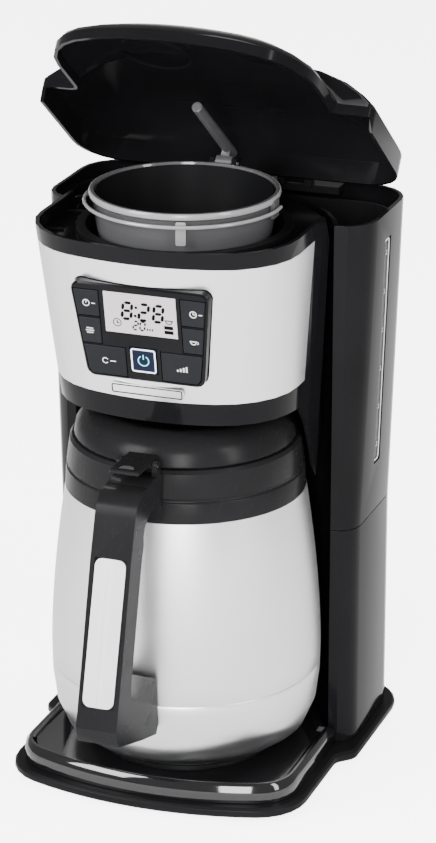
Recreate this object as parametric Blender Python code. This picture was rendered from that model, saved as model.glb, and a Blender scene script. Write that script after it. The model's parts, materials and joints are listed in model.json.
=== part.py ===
"""Drip coffee maker with a thermal carafe, as separate solids for each piece.

Metres, +Z up, front at -Y. Every size below is measured about the carafe's upright axis, with the
floor at height 0. The parent empty at the end moves the whole machine so that the box round it, with
the lid open, is centred over the origin.
"""

import math

import bmesh
import bpy
from mathutils import Matrix, Vector

# Clearances
TOUCH_GAP = 0.0003              # between pieces that rest on or fit in each other
RUN_GAP = 0.0005                # round a key or a plunger that slides
BUTT_GAP = 0.0006               # between the head and the housing's curved wall
NICHE_GAP = 0.0050              # carafe to the curved wall behind it
PIN_CLEARANCE = 0.0003
HEAD_ROOM = 0.0080              # carafe lid to the underside of the head

# Carafe
CARAFE_RADIUS = 0.0820
CARAFE_COLLAR_HEIGHT = 0.1825   # above the floor, where steel meets collar
CARAFE_SHOULDER = 0.0096        # how much narrower the collar is than the body
COLLAR_DEPTH = 0.0315
CARAFE_LID_DEPTH = 0.0180       # how far the lid stands over the collar
NECK_INSET = 0.0164             # collar's outside to the flask's neck
VACUUM_GAP = 0.0065             # between the carafe's two walls, at its widest
CARAFE_WALL = 0.0008
CARAFE_TRAVEL = 0.1500          # how far the carafe is drawn forward

# Handle
HANDLE_HALF_WIDTH = 0.0125
HANDLE_REACH = 0.0660           # beyond the carafe's side
HANDLE_FOOT = 0.0535            # lowest edge of its pad on the body, above the floor
HANDLE_RISE = 0.0100            # handle's top above the collar's
LEVER_PIN_RADIUS = 0.0012

# Base
FOOT_HEIGHT = 0.0030
BASE_PLATE_TOP = 0.0095
TRAY_TOP = 0.0220
TRAY_FLOOR = 0.0195
TRAY_BOW = 0.0200
TRAY_CORNER = 0.0260
TRAY_MARGIN = 0.0060            # tray beyond the carafe's side
PLINTH_LIP = 0.0055             # base plate beyond the tray
PLINTH_STEP = 0.0095            # base plate's extra width beside the housing

# Rear housing
HOUSING_MARGIN_TOP = 0.0215     # housing's sides beyond the carafe's, at three heights
HOUSING_MARGIN_SEAM = 0.0150
HOUSING_MARGIN_FOOT = 0.0150
HOUSING_FRONT = 0.0280
HOUSING_DEPTH = 0.0330          # behind the niche
HOUSING_CORNER = 0.0260
SEAM_HEIGHT = 0.1500
HOUSING_WALL = 0.0024
TANK_WALL = 0.0018
TANK_LIFT = 0.0080              # tank floor above the seam
TANK_RIM_DROP = 0.0070          # tank rim below the housing rim
REAR_CHANNEL = 0.0130           # between the tank and the housing's back

# Head
HEAD_DEPTH = 0.1100
HEAD_SIDE_STEP = 0.0070         # head's top narrower than the niche on each side
HEAD_TAPER = 0.0070             # head's underside narrower than its top on each side
HEAD_FRONT_ROOM = 0.0180        # deck's well to the head's front rim
HEAD_OVERHANG = 0.0200          # how far the front leans out over the head's depth
HEAD_BOW = 0.0210
HEAD_CORNER = 0.0480
HEAD_WALL = 0.0025
HEAD_STEP = 0.0080              # head's rim above the housing's
ARCH_DROP = 0.0550              # the head's sides sweep down beside the niche
BAND_HEIGHT = 0.0860
BAND_DROP = 0.0100              # band's top edge below the head's rim
BAND_THICKNESS = 0.0009
BAND_REAR = 0.0020              # where the band stops on each side
DECK_DROP = 0.0095
DECK_THICKNESS = 0.0022

# Filter basket
BASKET_MARGIN = 0.0320          # basket's rim to the niche's wall
BASKET_STAND = 0.0245           # basket rim above the deck
BASKET_DEPTH = 0.0800
BASKET_WALL = 0.0016
BASKET_LIFT = 0.0120
FUNNEL_RIM = 0.0035             # funnel rim above the deck
FUNNEL_WALL = 0.0016
WELL_GAP = 0.0060               # basket to the deck's well
WELL_WALL = 0.0018
SPOUT_RADIUS = 0.0085
BAIL_DROP = 0.0070
BAIL_WIRE = 0.0011

# Control panel, in the plane of the leaning front
PANEL_HALF_WIDTH = 0.0420
PANEL_TOP = 0.0295              # above the panel's centre
PANEL_BOTTOM = -0.0315
PANEL_DROP = 0.0425             # panel centre below the band's top edge
PANEL_DEPTH = 0.0120
PANEL_PROUD = 0.0016
PANEL_FACE = 0.0022
PANEL_WALL = 0.0010
PANEL_CORNER = 0.0055
PANEL_NARROWING = 0.0055        # the panel's foot is narrower than its top by this on each side
KEY_SPACING = 0.0014
KEY_TOP_INSET = 0.0046          # upper keys below the panel's top, clear of its corners
KEY_TRAVEL = 0.0008
KEY_SIZE = 0.0158               # the square power key
LCD_HALF_WIDTH = 0.0220
LCD_HALF_HEIGHT = 0.0130
LCD_CENTRE = 0.0120
BADGE_DROP = 0.0068             # badge's middle below the panel
BADGE_DEPTH = 0.0005

# Lid and spray arm
LID_OPEN_ANGLE = 37.0
LID_WALL = 0.0022
LID_SKIRT = 0.0080
LID_DOME = 0.0305               # dome above the head's rim
LID_SETBACK = 0.0180            # lid's back edge in front of the housing's
PIN_RADIUS = 0.0016
HINGE_SETBACK = 0.0130          # hinge line in front of the housing's back
HINGE_RISE = 0.0035
HINGE_INSET = 0.0715            # hinge knuckles in from the housing's sides
BRACKET_INSET = 0.0435
ARM_OPEN_ANGLE = 36.0
ARM_CLEARANCE = 0.0055          # arm's centre over the basket's rim
ARM_TIP_RADIUS = 0.0031
ARM_ROOT_RADIUS = 0.0036
ARM_REACH = 0.0670

# Derived places
CARAFE_COLLAR_RADIUS = CARAFE_RADIUS - CARAFE_SHOULDER
NECK_RADIUS = CARAFE_COLLAR_RADIUS - NECK_INSET
CARAFE_COLLAR_TOP = CARAFE_COLLAR_HEIGHT + COLLAR_DEPTH
CARAFE_LID_TOP = CARAFE_COLLAR_TOP + CARAFE_LID_DEPTH
CARAFE_FOOT = TRAY_TOP + TOUCH_GAP * 2
HANDLE_TOP = CARAFE_COLLAR_TOP + HANDLE_RISE
TRAY_HALF_WIDTH = CARAFE_RADIUS + TRAY_MARGIN
TRAY_FRONT = 0.0010 - CARAFE_RADIUS
REST_PAD_RADIUS = CARAFE_RADIUS - 0.0260
NICHE_RADIUS = CARAFE_RADIUS + NICHE_GAP
NICHE_EDGE_X = math.sqrt(NICHE_RADIUS**2 - HOUSING_FRONT**2)
HEAD_BACK_RADIUS = NICHE_RADIUS - BUTT_GAP
HEAD_BOTTOM = CARAFE_LID_TOP + HEAD_ROOM
HEAD_TOP = HEAD_BOTTOM + HEAD_DEPTH
HEAD_HALF_TOP = NICHE_RADIUS - HEAD_SIDE_STEP
HEAD_HALF_BOTTOM = HEAD_HALF_TOP - HEAD_TAPER
LEAN_ANGLE = math.atan(HEAD_OVERHANG / HEAD_DEPTH)
BAND_TOP = HEAD_TOP - BAND_DROP
BAND_BOTTOM = BAND_TOP - BAND_HEIGHT
PANEL_HEIGHT = BAND_TOP - PANEL_DROP
DECK_TOP = HEAD_TOP - DECK_DROP
HOUSING_TOP = HEAD_TOP - HEAD_STEP
HOUSING_HALF_TOP = CARAFE_RADIUS + HOUSING_MARGIN_TOP
HOUSING_HALF_SEAM = CARAFE_RADIUS + HOUSING_MARGIN_SEAM
HOUSING_HALF_FOOT = CARAFE_RADIUS + HOUSING_MARGIN_FOOT
HOUSING_REAR = NICHE_RADIUS + HOUSING_DEPTH
PLINTH_REAR = HOUSING_REAR + 0.0070
PLINTH_REAR_HALF_WIDTH = TRAY_HALF_WIDTH + PLINTH_LIP + PLINTH_STEP
TANK_FLOOR = SEAM_HEIGHT + TANK_LIFT
BACK_WALL_TOP = HOUSING_TOP - TANK_RIM_DROP
BASKET_RADIUS = NICHE_RADIUS - BASKET_MARGIN
BASKET_TOP = DECK_TOP + BASKET_STAND
FUNNEL_TOP = DECK_TOP + FUNNEL_RIM
WELL_TOP_RADIUS = BASKET_RADIUS + WELL_GAP
WELL_FOOT_RADIUS = BASKET_RADIUS - 0.0090
WELL_BOTTOM = BASKET_TOP - BASKET_DEPTH - 0.0230
FUNNEL_FLANGE = WELL_TOP_RADIUS + 0.0030
HEAD_FRONT_TOP = -WELL_TOP_RADIUS - HEAD_FRONT_ROOM
HEAD_FRONT_BOTTOM = HEAD_FRONT_TOP + HEAD_OVERHANG
BAIL_RADIUS = BASKET_RADIUS + 0.0038
LID_REAR = HOUSING_REAR - LID_SETBACK
LID_DOME_TOP = HEAD_TOP + LID_DOME
LID_CENTRE_Y = (HEAD_FRONT_TOP + LID_REAR) / 2
LID_FRONT_RIM = HEAD_TOP + 0.0004
LID_REAR_RIM = HOUSING_TOP + 0.0006
HINGE_X = HOUSING_HALF_TOP - HINGE_INSET
HINGE_Y = HOUSING_REAR - HINGE_SETBACK
HINGE_Z = HOUSING_TOP + HINGE_RISE
ARM_PIVOT_Y = FUNNEL_FLANGE + 0.0050
ARM_PIVOT_Z = DECK_TOP + 0.0210
ARM_LEVEL = BASKET_TOP + ARM_CLEARANCE
HEATER_RADIUS = NICHE_RADIUS + HOUSING_DEPTH / 2
AXIS_Y = (CARAFE_RADIUS + HANDLE_REACH - PLINTH_REAR) / 2


# --- materials ---------------------------------------------------------------------------------


def plastic(name, colour, roughness, metallic=0.0, alpha=1.0):
    """A Principled material of one colour."""
    material = bpy.data.materials.get(name)
    if material is None:
        material = bpy.data.materials.new(name)
        material.use_nodes = True
        shader = material.node_tree.nodes["Principled BSDF"]
        shader.inputs["Base Color"].default_value = (*colour, 1.0)
        shader.inputs["Roughness"].default_value = roughness
        shader.inputs["Metallic"].default_value = metallic
        shader.inputs["Alpha"].default_value = alpha
    return material


FINISHES = {
    "black_gloss": ((0.010, 0.010, 0.011), 0.14, 0.0, 1.0),
    "black_satin": ((0.014, 0.014, 0.015), 0.38, 0.0, 1.0),
    "brushed_steel": ((0.66, 0.66, 0.67), 0.27, 1.0, 1.0),
    "bright_steel": ((0.80, 0.80, 0.80), 0.10, 1.0, 1.0),
    "smoke_plastic": ((0.10, 0.10, 0.105), 0.12, 0.0, 0.55),
    "lcd_glass": ((0.60, 0.57, 0.58), 0.08, 0.0, 1.0),
    "grey_plastic": ((0.30, 0.30, 0.31), 0.35, 0.0, 1.0),
    "rubber": ((0.03, 0.03, 0.03), 0.80, 0.0, 1.0),
    "silicone": ((0.55, 0.55, 0.54), 0.55, 0.0, 1.0),
    "aluminium": ((0.60, 0.61, 0.62), 0.40, 1.0, 1.0),
    "circuit_green": ((0.02, 0.12, 0.05), 0.50, 0.0, 1.0),
    "clear_plastic": ((0.22, 0.23, 0.25), 0.08, 0.0, 0.5),
    "key_black": ((0.012, 0.013, 0.018), 0.25, 0.0, 1.0),
}


# --- mesh helpers ------------------------------------------------------------------------------


def place(name, bm, finish, parent=None, at=(0, 0, 0), turn=(0, 0, 0), smooth=True):
    """Make a named object of a bmesh, with outward faces and its finish."""
    bmesh.ops.remove_doubles(bm, verts=bm.verts, dist=1e-6)
    bmesh.ops.dissolve_degenerate(bm, edges=bm.edges, dist=1e-7)
    bmesh.ops.recalc_face_normals(bm, faces=bm.faces)
    mesh = bpy.data.meshes.new(name)
    bm.to_mesh(mesh)
    bm.free()
    if smooth:
        mesh.shade_smooth()
        mesh.set_sharp_from_angle(angle=math.radians(35))
    colour, roughness, metallic, alpha = FINISHES[finish]
    mesh.materials.append(plastic(finish, colour, roughness, metallic, alpha))
    obj = bpy.data.objects.new(name, mesh)
    bpy.context.scene.collection.objects.link(obj)
    obj.parent = parent
    obj.location = at
    obj.rotation_euler = turn
    return obj


def empty(name, parent, at, turn=(0, 0, 0)):
    """A parent that carries a joint's place and angle."""
    obj = bpy.data.objects.new(name, None)
    bpy.context.scene.collection.objects.link(obj)
    obj.parent = parent
    obj.location = at
    obj.rotation_euler = turn
    return obj


def change(target, tool, operation="DIFFERENCE"):
    """Cut a hidden tool from the target, or join it on."""
    tool.name = f"{operation.lower()}_tool_{tool.name}"
    tool.hide_render = True
    tool.display_type = "WIRE"
    modifier = target.modifiers.new(operation.title(), "BOOLEAN")
    modifier.operation = operation
    modifier.solver = "EXACT"
    modifier.object = tool
    return target


def cap(bm, loop, folded):
    """Close a loop with one face or, where it bends round a niche, with strips from front to back."""
    if not folded:
        bm.faces.new(loop)
        return
    half = len(loop) // 2
    for step in (1, -1):
        line = [loop[step * i] for i in range(half + 1)]
        for k in range(half // 2):
            corners = [line[k], line[k + 1], line[half - 1 - k], line[half - k]]
            if corners[1] is corners[2]:
                corners.pop(2)
            bm.faces.new(corners)


def rings(loops, ring_closed=False, folded=False):
    """A bmesh through loops of equally many points, capped at both ends or joined into a tube."""
    bm = bmesh.new()
    made = [[bm.verts.new(point) for point in loop] for loop in loops]
    pairs = list(zip(made, made[1:]))
    if ring_closed:
        pairs.append((made[-1], made[0]))
    for low, high in pairs:
        for i, corner in enumerate(low):
            j = (i + 1) % len(low)
            bm.faces.new((corner, low[j], high[j], high[i]))
    if not ring_closed:
        cap(bm, made[0], folded)
        cap(bm, made[-1], folded)
    return bm


def turned(profile, steps=40):
    """Turn a closed outline of (radius, height) points about Z. Points at radius 0 are poles."""
    bm = bmesh.new()
    columns = []
    for i in range(steps):
        angle = 2 * math.pi * i / steps
        columns.append([
            bm.verts.new((r * math.cos(angle), r * math.sin(angle), z)) for r, z in profile
        ])
    count = len(profile)
    for i in range(steps):
        here, there = columns[i], columns[(i + 1) % steps]
        for k in range(count):
            n = (k + 1) % count
            if profile[k][0] < 1e-9 and profile[n][0] < 1e-9:
                continue
            bm.faces.new((here[k], there[k], there[n], here[n]))
    bmesh.ops.remove_doubles(bm, verts=bm.verts, dist=1e-7)
    return bm


def block(x0, x1, y0, y1, z0, z1, bevel=0.0):
    """A box between two corners, with its edges bevelled."""
    bm = bmesh.new()
    size = Matrix.Diagonal((x1 - x0, y1 - y0, z1 - z0, 1))
    centre = Matrix.Translation(((x0 + x1) / 2, (y0 + y1) / 2, (z0 + z1) / 2))
    bmesh.ops.create_cube(bm, size=1, matrix=centre @ size)
    if bevel:
        bmesh.ops.bevel(bm, geom=bm.edges, offset=bevel, segments=1, affect="EDGES")
    return bm


def cylinder(radius, low, high, axis="Z", centre=(0, 0), steps=20):
    """A round bar along an axis, from low to high, at a centre in the other two coordinates."""
    bm = bmesh.new()
    bmesh.ops.create_cone(bm, cap_ends=True, segments=steps, radius1=radius, radius2=radius,
                          depth=high - low)
    middle = (low + high) / 2
    if axis == "X":
        matrix = Matrix.Translation((middle, *centre)) @ Matrix.Rotation(math.pi / 2, 4, "Y")
    elif axis == "Y":
        matrix = Matrix.Translation((centre[0], middle, centre[1])) @ Matrix.Rotation(
            math.pi / 2, 4, "X")
    else:
        matrix = Matrix.Translation((*centre, middle))
    bmesh.ops.transform(bm, matrix=matrix, verts=bm.verts)
    return bm


def extruded(outline, low, high, plane="XY"):
    """A prism of an outline, between two levels along the axis square to its plane."""
    if plane == "XY":
        loops = [[(a, b, level) for a, b in outline] for level in (low, high)]
    elif plane == "XZ":
        loops = [[(a, level, b) for a, b in outline] for level in (low, high)]
    else:
        loops = [[(level, a, b) for a, b in outline] for level in (low, high)]
    return rings(loops)


def tube(path, radius, steps=10):
    """A solid bar of round section along a path of points."""
    points = [Vector(p) for p in path]
    loops = []
    side = None
    for i, point in enumerate(points):
        ahead = points[min(i + 1, len(points) - 1)]
        behind = points[max(i - 1, 0)]
        along = (ahead - behind).normalized()
        if side is None:
            side = along.orthogonal().normalized()
        side = (side - along * side.dot(along)).normalized()
        other = along.cross(side)
        width = radius(i / (len(points) - 1)) if callable(radius) else radius
        loops.append([
            point + width * (math.cos(a) * side + math.sin(a) * other)
            for a in (2 * math.pi * k / steps for k in range(steps))
        ])
    return rings(loops)


def smooth_path(points, count):
    """Points along a Catmull-Rom curve through the given points."""
    knots = [Vector(p) for p in points]
    knots = [2 * knots[0] - knots[1], *knots, 2 * knots[-1] - knots[-2]]
    spans = len(knots) - 3
    out = []
    for n in range(count):
        t = n * spans / (count - 1)
        k = min(int(t), spans - 1)
        t -= k
        a, b, c, d = knots[k:k + 4]
        out.append(0.5 * (2 * b + (c - a) * t + (2 * a - 5 * b + 4 * c - d) * t * t
                          + (3 * b - a - 3 * c + d) * t ** 3))
    return out


# --- outlines ----------------------------------------------------------------------------------


def arc(cx, cy, radius, start, end, count):
    """Points on an arc, angles in radians, both ends included."""
    step = (end - start) / (count - 1)
    return [
        (cx + radius * math.cos(start + i * step), cy + radius * math.sin(start + i * step))
        for i in range(count)
    ]


def mirrored(half):
    """A closed outline from its right half, whose first and last points lie on x = 0."""
    return half + [(-x, y) for x, y in half[-2:0:-1]]


def inset(outline, distance):
    """Move an outline inwards (it runs anticlockwise) by a distance."""
    count = len(outline)
    out = []
    for i, (x, y) in enumerate(outline):
        before = Vector(outline[i - 1])
        here = Vector((x, y))
        after = Vector(outline[(i + 1) % count])
        first = (here - before).normalized()
        second = (after - here).normalized()
        normal = Vector((-(first.y + second.y), first.x + second.x)).normalized()
        scale = 1 / max(0.5, normal.dot(Vector((-second.y, second.x))))
        out.append((x + normal.x * distance * scale, y + normal.y * distance * scale))
    return out


BOW_POINTS = 7
CORNER_POINTS = 6


def bowed_front(half, front, bow, corner):
    """The right half of a bowed front and its rounded corner, up to the straight side."""
    radius = (half**2 + bow**2) / (2 * bow)
    centre_y = front + radius
    corner_x = half - corner
    corner_y = centre_y - math.sqrt((radius - corner) ** 2 - corner_x**2)
    meet = math.atan2(corner_y - centre_y, corner_x)
    points = arc(0, centre_y, radius, -math.pi / 2, meet, BOW_POINTS)
    return points + arc(corner_x, corner_y, corner, meet, 0, CORNER_POINTS)[1:]


def front_and_niche(half, front, bow, corner, back_radius):
    """Outline of the tray or the head: bowed front, straight sides, round back in the niche."""
    side_end = HOUSING_FRONT - BUTT_GAP
    edge_x = min(half - 0.0002, math.sqrt(back_radius**2 - side_end**2))
    back_x = HEAD_HALF_BOTTOM - 0.0004
    back_y = math.sqrt(back_radius**2 - back_x**2)
    points = bowed_front(half, front, bow, corner)
    side_start = points[-1][1]
    points += [(half, blend(side_start, side_end, i / 6)) for i in range(1, 7)]
    points += [(edge_x, side_end)]
    start = math.atan2(back_y, back_x)
    return mirrored(points + arc(0, 0, back_radius, start, math.pi / 2, 8))


def blend(low, high, share):
    """A value between two others."""
    return low + (high - low) * share


def head_outline(height, distance=0.0):
    """The head's outline at a height, moved inwards by a distance."""
    share = (height - HEAD_BOTTOM) / (HEAD_TOP - HEAD_BOTTOM)
    half = blend(HEAD_HALF_BOTTOM, HEAD_HALF_TOP, share)
    front = blend(HEAD_FRONT_BOTTOM, HEAD_FRONT_TOP, share)
    outline = front_and_niche(half, front, HEAD_BOW, HEAD_CORNER, HEAD_BACK_RADIUS)
    return inset(outline, distance) if distance else outline


def housing_half(height):
    """Half the housing's width at a height."""
    if height >= SEAM_HEIGHT:
        share = (height - SEAM_HEIGHT) / (HOUSING_TOP - SEAM_HEIGHT)
        return blend(HOUSING_HALF_SEAM, HOUSING_HALF_TOP, share)
    return blend(HOUSING_HALF_FOOT, HOUSING_HALF_SEAM, height / SEAM_HEIGHT)


def housing_outline(height, distance=0.0, back=HOUSING_REAR):
    """The C shape of the rear housing: square-cornered back, curved niche in front."""
    half = housing_half(height)
    corner = half - NICHE_EDGE_X
    points = [(0, NICHE_RADIUS)]
    start = math.atan2(HOUSING_FRONT, NICHE_EDGE_X)
    points += arc(0, 0, NICHE_RADIUS, math.pi / 2, start, 9)[1:]
    points += arc(NICHE_EDGE_X, HOUSING_FRONT + corner, corner, -math.pi / 2, 0, 5)[1:]
    rear = back - HOUSING_CORNER
    points += arc(half - HOUSING_CORNER, rear, HOUSING_CORNER, 0, math.pi / 2, 6)
    points += [(0, back)]
    outline = mirrored(points)
    return inset(outline, distance) if distance else outline


def at(outline, height):
    """Lift a flat outline to a height."""
    return [(x, y, height) for x, y in outline]


# --- base --------------------------------------------------------------------------------------


def plinth_outline():
    """The base plate: the tray's outline and the housing's, each with its lip."""
    half = TRAY_HALF_WIDTH + PLINTH_LIP
    points = bowed_front(half, TRAY_FRONT - PLINTH_LIP, TRAY_BOW, TRAY_CORNER + PLINTH_LIP)
    step = PLINTH_REAR_HALF_WIDTH - half
    for share in (0.0, 0.25, 0.5, 0.75, 1.0):
        points.append((half + step * (1 - math.cos(math.pi * share)) / 2,
                       HOUSING_FRONT - 0.018 + 0.014 * share))
    corner = HOUSING_CORNER + 0.004
    points += arc(PLINTH_REAR_HALF_WIDTH - corner, PLINTH_REAR - corner, corner, 0, math.pi / 2, 7)
    return mirrored(points + [(0, PLINTH_REAR)])


FOOT_FRONT = (TRAY_HALF_WIDTH - 0.0220, TRAY_FRONT + 0.0330)
FOOT_REAR = (HOUSING_HALF_FOOT - 0.0185, HOUSING_REAR - 0.0280)
SCREW_PLACES = ((-0.040, 0.050), (0.040, 0.050))
SCREW_HEAD_RADIUS = 0.0035


def make_base(root):
    outline = plinth_outline()
    plate = place("base_plate", rings([
        at(inset(outline, 0.0016), FOOT_HEIGHT),
        at(outline, FOOT_HEIGHT + 0.0016),
        at(outline, BASE_PLATE_TOP - 0.0016),
        at(inset(outline, 0.0016), BASE_PLATE_TOP),
    ]), "black_satin", root)
    for number, (x, y) in enumerate(SCREW_PLACES, 1):
        hole = cylinder(SCREW_HEAD_RADIUS + TOUCH_GAP, -0.001, 0.0058, centre=(x, y), steps=16)
        change(plate, place(f"screw_hole_{number}", hole, "black_satin", root))
        screw = turned([(0, 0.0034), (SCREW_HEAD_RADIUS, 0.0034), (SCREW_HEAD_RADIUS, 0.0054),
                        (0, 0.0054)], 16)
        place(f"base_screw_{number}", screw, "bright_steel", root, (x, y, 0))
    corners = {"front_left": (-1, FOOT_FRONT), "front_right": (1, FOOT_FRONT),
               "rear_left": (-1, FOOT_REAR), "rear_right": (1, FOOT_REAR)}
    for name, (side, (x, y)) in corners.items():
        foot = turned([(0, 0), (0.0070, 0), (0.0080, 0.0010), (0.0080, FOOT_HEIGHT - TOUCH_GAP),
                       (0, FOOT_HEIGHT - TOUCH_GAP)], 20)
        place(f"foot_{name}", foot, "rubber", root, (side * x, y, 0))


def make_tray(root):
    low = BASE_PLATE_TOP + TOUCH_GAP
    outline = front_and_niche(TRAY_HALF_WIDTH, TRAY_FRONT, TRAY_BOW, TRAY_CORNER,
                              HEAD_BACK_RADIUS)
    tray = rings([
        at(inset(outline, 0.0060), TRAY_FLOOR - 0.0025),
        at(inset(outline, 0.0055), low),
        at(inset(outline, 0.0004), low),
        at(inset(outline, 0.0004), TRAY_TOP - 0.0060),
        at(inset(outline, 0.0012), TRAY_TOP - 0.0020),
        at(inset(outline, 0.0032), TRAY_TOP),
        at(inset(outline, 0.0052), TRAY_TOP),
        at(inset(outline, 0.0075), TRAY_FLOOR),
    ])
    place("base_tray", tray, "black_gloss", root)
    pad = turned([(0, TRAY_FLOOR + TOUCH_GAP), (REST_PAD_RADIUS, TRAY_FLOOR + TOUCH_GAP),
                  (REST_PAD_RADIUS, TRAY_TOP), (REST_PAD_RADIUS - 0.001, TRAY_TOP + 0.0003),
                  (0, TRAY_TOP + 0.0003)], 32)
    place("carafe_rest_pad", pad, "silicone", root)


# --- rear housing ------------------------------------------------------------------------------

CORD_X = 0.055
CORD_Z = 0.034
WINDOW_LOW = SEAM_HEIGHT + 0.0320
WINDOW_HIGH = HOUSING_TOP - 0.0170
WINDOW_Y = NICHE_RADIUS - 0.0170
WINDOW_HALF_WIDTH = 0.0055
OUTLET_ANGLE = math.radians(60)
OUTLET_X = HEATER_RADIUS * math.cos(OUTLET_ANGLE)
OUTLET_Y = HEATER_RADIUS * math.sin(OUTLET_ANGLE)
VALVE_RADIUS = 0.0045
HOSE_X = OUTLET_X - 0.0040
HOSE_Y = OUTLET_Y + 0.0035
HEATER_Z = 0.0700
HEATER_BAR = 0.0065
RISER_RADIUS = 0.0034
RISER_Y = NICHE_RADIUS + 0.0092
HOLE_GAP = 0.0008
FORK_HALF_DEPTH = 0.0042


def housing_shell(low, high):
    """Rings of an open-ended housing wall between two heights."""
    return rings([
        at(housing_outline(low), low),
        at(housing_outline(high), high),
        at(housing_outline(high, HOUSING_WALL), high),
        at(housing_outline(low, HOUSING_WALL), low),
    ], ring_closed=True)


def make_housing(root):
    lower = place("lower_housing", housing_shell(BASE_PLATE_TOP + TOUCH_GAP,
                                                 SEAM_HEIGHT - TOUCH_GAP / 2),
                  "black_satin", root)
    hole = cylinder(0.0060 + TOUCH_GAP, HOUSING_REAR - 0.010, HOUSING_REAR + 0.010, "Y",
                    (CORD_X, CORD_Z), 16)
    change(lower, place("cord_hole", hole, "black_satin", root))
    back = HOUSING_REAR
    gland = turned([(0.0035, -0.0040), (0.0060, -0.0040), (0.0060, TOUCH_GAP),
                    (0.0095, TOUCH_GAP), (0.0085, 0.0032), (0.0035, 0.0040)], 16)
    place("cord_gland", gland, "rubber", root, (CORD_X, back, CORD_Z), (-math.pi / 2, 0, 0))
    upper = place("reservoir_housing", housing_shell(SEAM_HEIGHT + TOUCH_GAP / 2, HOUSING_TOP),
                  "black_gloss", root)
    slot = block(housing_half(WINDOW_LOW) - 0.012, HOUSING_HALF_TOP + 0.012,
                 WINDOW_Y - WINDOW_HALF_WIDTH, WINDOW_Y + WINDOW_HALF_WIDTH,
                 WINDOW_LOW, WINDOW_HIGH)
    change(upper, place("window_slot", slot, "black_gloss", root))
    make_window(root)
    make_tank(root)


def make_window(root):
    """A clear strip in the right wall, leaning with it."""
    half = WINDOW_HALF_WIDTH - TOUCH_GAP
    section = []
    for z in (WINDOW_LOW + TOUCH_GAP, WINDOW_HIGH - TOUCH_GAP):
        x = housing_half(z) - 0.0012
        section.append([(x, WINDOW_Y - half, z), (x, WINDOW_Y + half, z),
                        (x - 0.0012, WINDOW_Y + half, z), (x - 0.0012, WINDOW_Y - half, z)])
    place("water_window", rings(section), "clear_plastic", root, smooth=False)


def tank_outline(height, distance=0.0):
    """The tank follows the housing inside its walls and stops short of the back."""
    gap = HOUSING_WALL + TOUCH_GAP
    return housing_outline(height, gap + distance, HOUSING_REAR - REAR_CHANNEL)


def make_tank(root):
    high = HOUSING_TOP - TANK_RIM_DROP
    inner = TANK_FLOOR + TANK_WALL
    tank = rings([
        at(tank_outline(TANK_FLOOR), TANK_FLOOR),
        at(tank_outline(high), high),
        at(tank_outline(high, TANK_WALL), high),
        at(tank_outline(inner, TANK_WALL), inner),
    ], folded=True)
    tank = place("reservoir_tank", tank, "black_satin", root)
    low, top = TANK_FLOOR - 0.008, TANK_FLOOR + 0.012
    riser_hole = cylinder(RISER_RADIUS + HOLE_GAP, low, top, centre=(0, RISER_Y), steps=12)
    change(tank, place("riser_hole", riser_hole, "black_satin", root))
    outlet_hole = cylinder(VALVE_RADIUS + HOLE_GAP, low, top, centre=(OUTLET_X, OUTLET_Y), steps=12)
    change(tank, place("outlet_hole", outlet_hole, "black_satin", root))


def make_water_path(root):
    """Tank outlet, hose to the heater, heater bar and riser to the spray arm."""
    valve_low = TANK_FLOOR - 0.0060
    rim = VALVE_RADIUS + 0.0017
    seat = TANK_FLOOR + TANK_WALL + TOUCH_GAP
    valve = turned([(0, valve_low), (VALVE_RADIUS, valve_low), (VALVE_RADIUS, seat), (rim, seat),
                    (rim, seat + 0.0029), (0, seat + 0.0044)], 16)
    place("inlet_check_valve", valve, "grey_plastic", root, (OUTLET_X, OUTLET_Y, 0))
    ends = math.atan2(OUTLET_Y, OUTLET_X)
    sweep = [(x, y, HEATER_Z) for x, y in arc(0, 0, HEATER_RADIUS, ends, math.pi - ends, 15)]
    place("heater_tube", tube(sweep, HEATER_BAR, 12), "aluminium", root)
    hose_low = HEATER_Z + HEATER_BAR + TOUCH_GAP
    hose = cylinder(0.0048, hose_low, valve_low - TOUCH_GAP, centre=(HOSE_X, HOSE_Y), steps=12)
    place("cold_water_hose", hose, "silicone", root)
    bend = TANK_FLOOR - hose_low
    route = [(-HOSE_X, HOSE_Y, hose_low), (-HOSE_X, HOSE_Y, hose_low + bend * 0.16),
             (-HOSE_X * 0.80, HOSE_Y + 0.0034, hose_low + bend * 0.43),
             (-HOSE_X * 0.31, RISER_Y + 0.0038, hose_low + bend * 0.66),
             (-0.001, RISER_Y, TANK_FLOOR - 0.012), (0, RISER_Y, TANK_FLOOR + 0.007),
             (0, RISER_Y, (TANK_FLOOR + HOUSING_TOP) / 2), (0, RISER_Y, HOUSING_TOP - 0.017),
             (0, RISER_Y - 0.003, HEAD_TOP - 0.0070), (0, RISER_Y - 0.012, HEAD_TOP - 0.0020),
             (0, ARM_PIVOT_Y + FORK_HALF_DEPTH + 0.0010, HEAD_TOP - 0.0015)]
    place("riser_tube", tube(smooth_path(route, 30), RISER_RADIUS, 10), "silicone", root)
    place("thermostat", cylinder(0.0060, HEATER_Z + HEATER_BAR + TOUCH_GAP, HEATER_Z + 0.0130,
                                 centre=(0.012, HEATER_RADIUS - 0.001), steps=16),
          "bright_steel", root)


# --- head --------------------------------------------------------------------------------------


def side_arch(outline, height, drop):
    """Lower the points on the head's sides towards the housing, as an arch beside the niche."""
    out = []
    for x, y in outline:
        share = min(1.0, max(0.0, (y + 0.012) / (HOUSING_FRONT + 0.012 - BUTT_GAP)))
        on_side = abs(x) > HEAD_HALF_BOTTOM - 0.007 and y < HOUSING_FRONT
        out.append((x, y, height - (drop * share**2 if on_side else 0.0)))
    return out


def back_lowered(outline, height, level):
    """Lower the wall's top where it stands in the niche."""
    return [(x, y, level if y > HOUSING_FRONT - 0.004 else height) for x, y in outline]


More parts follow.
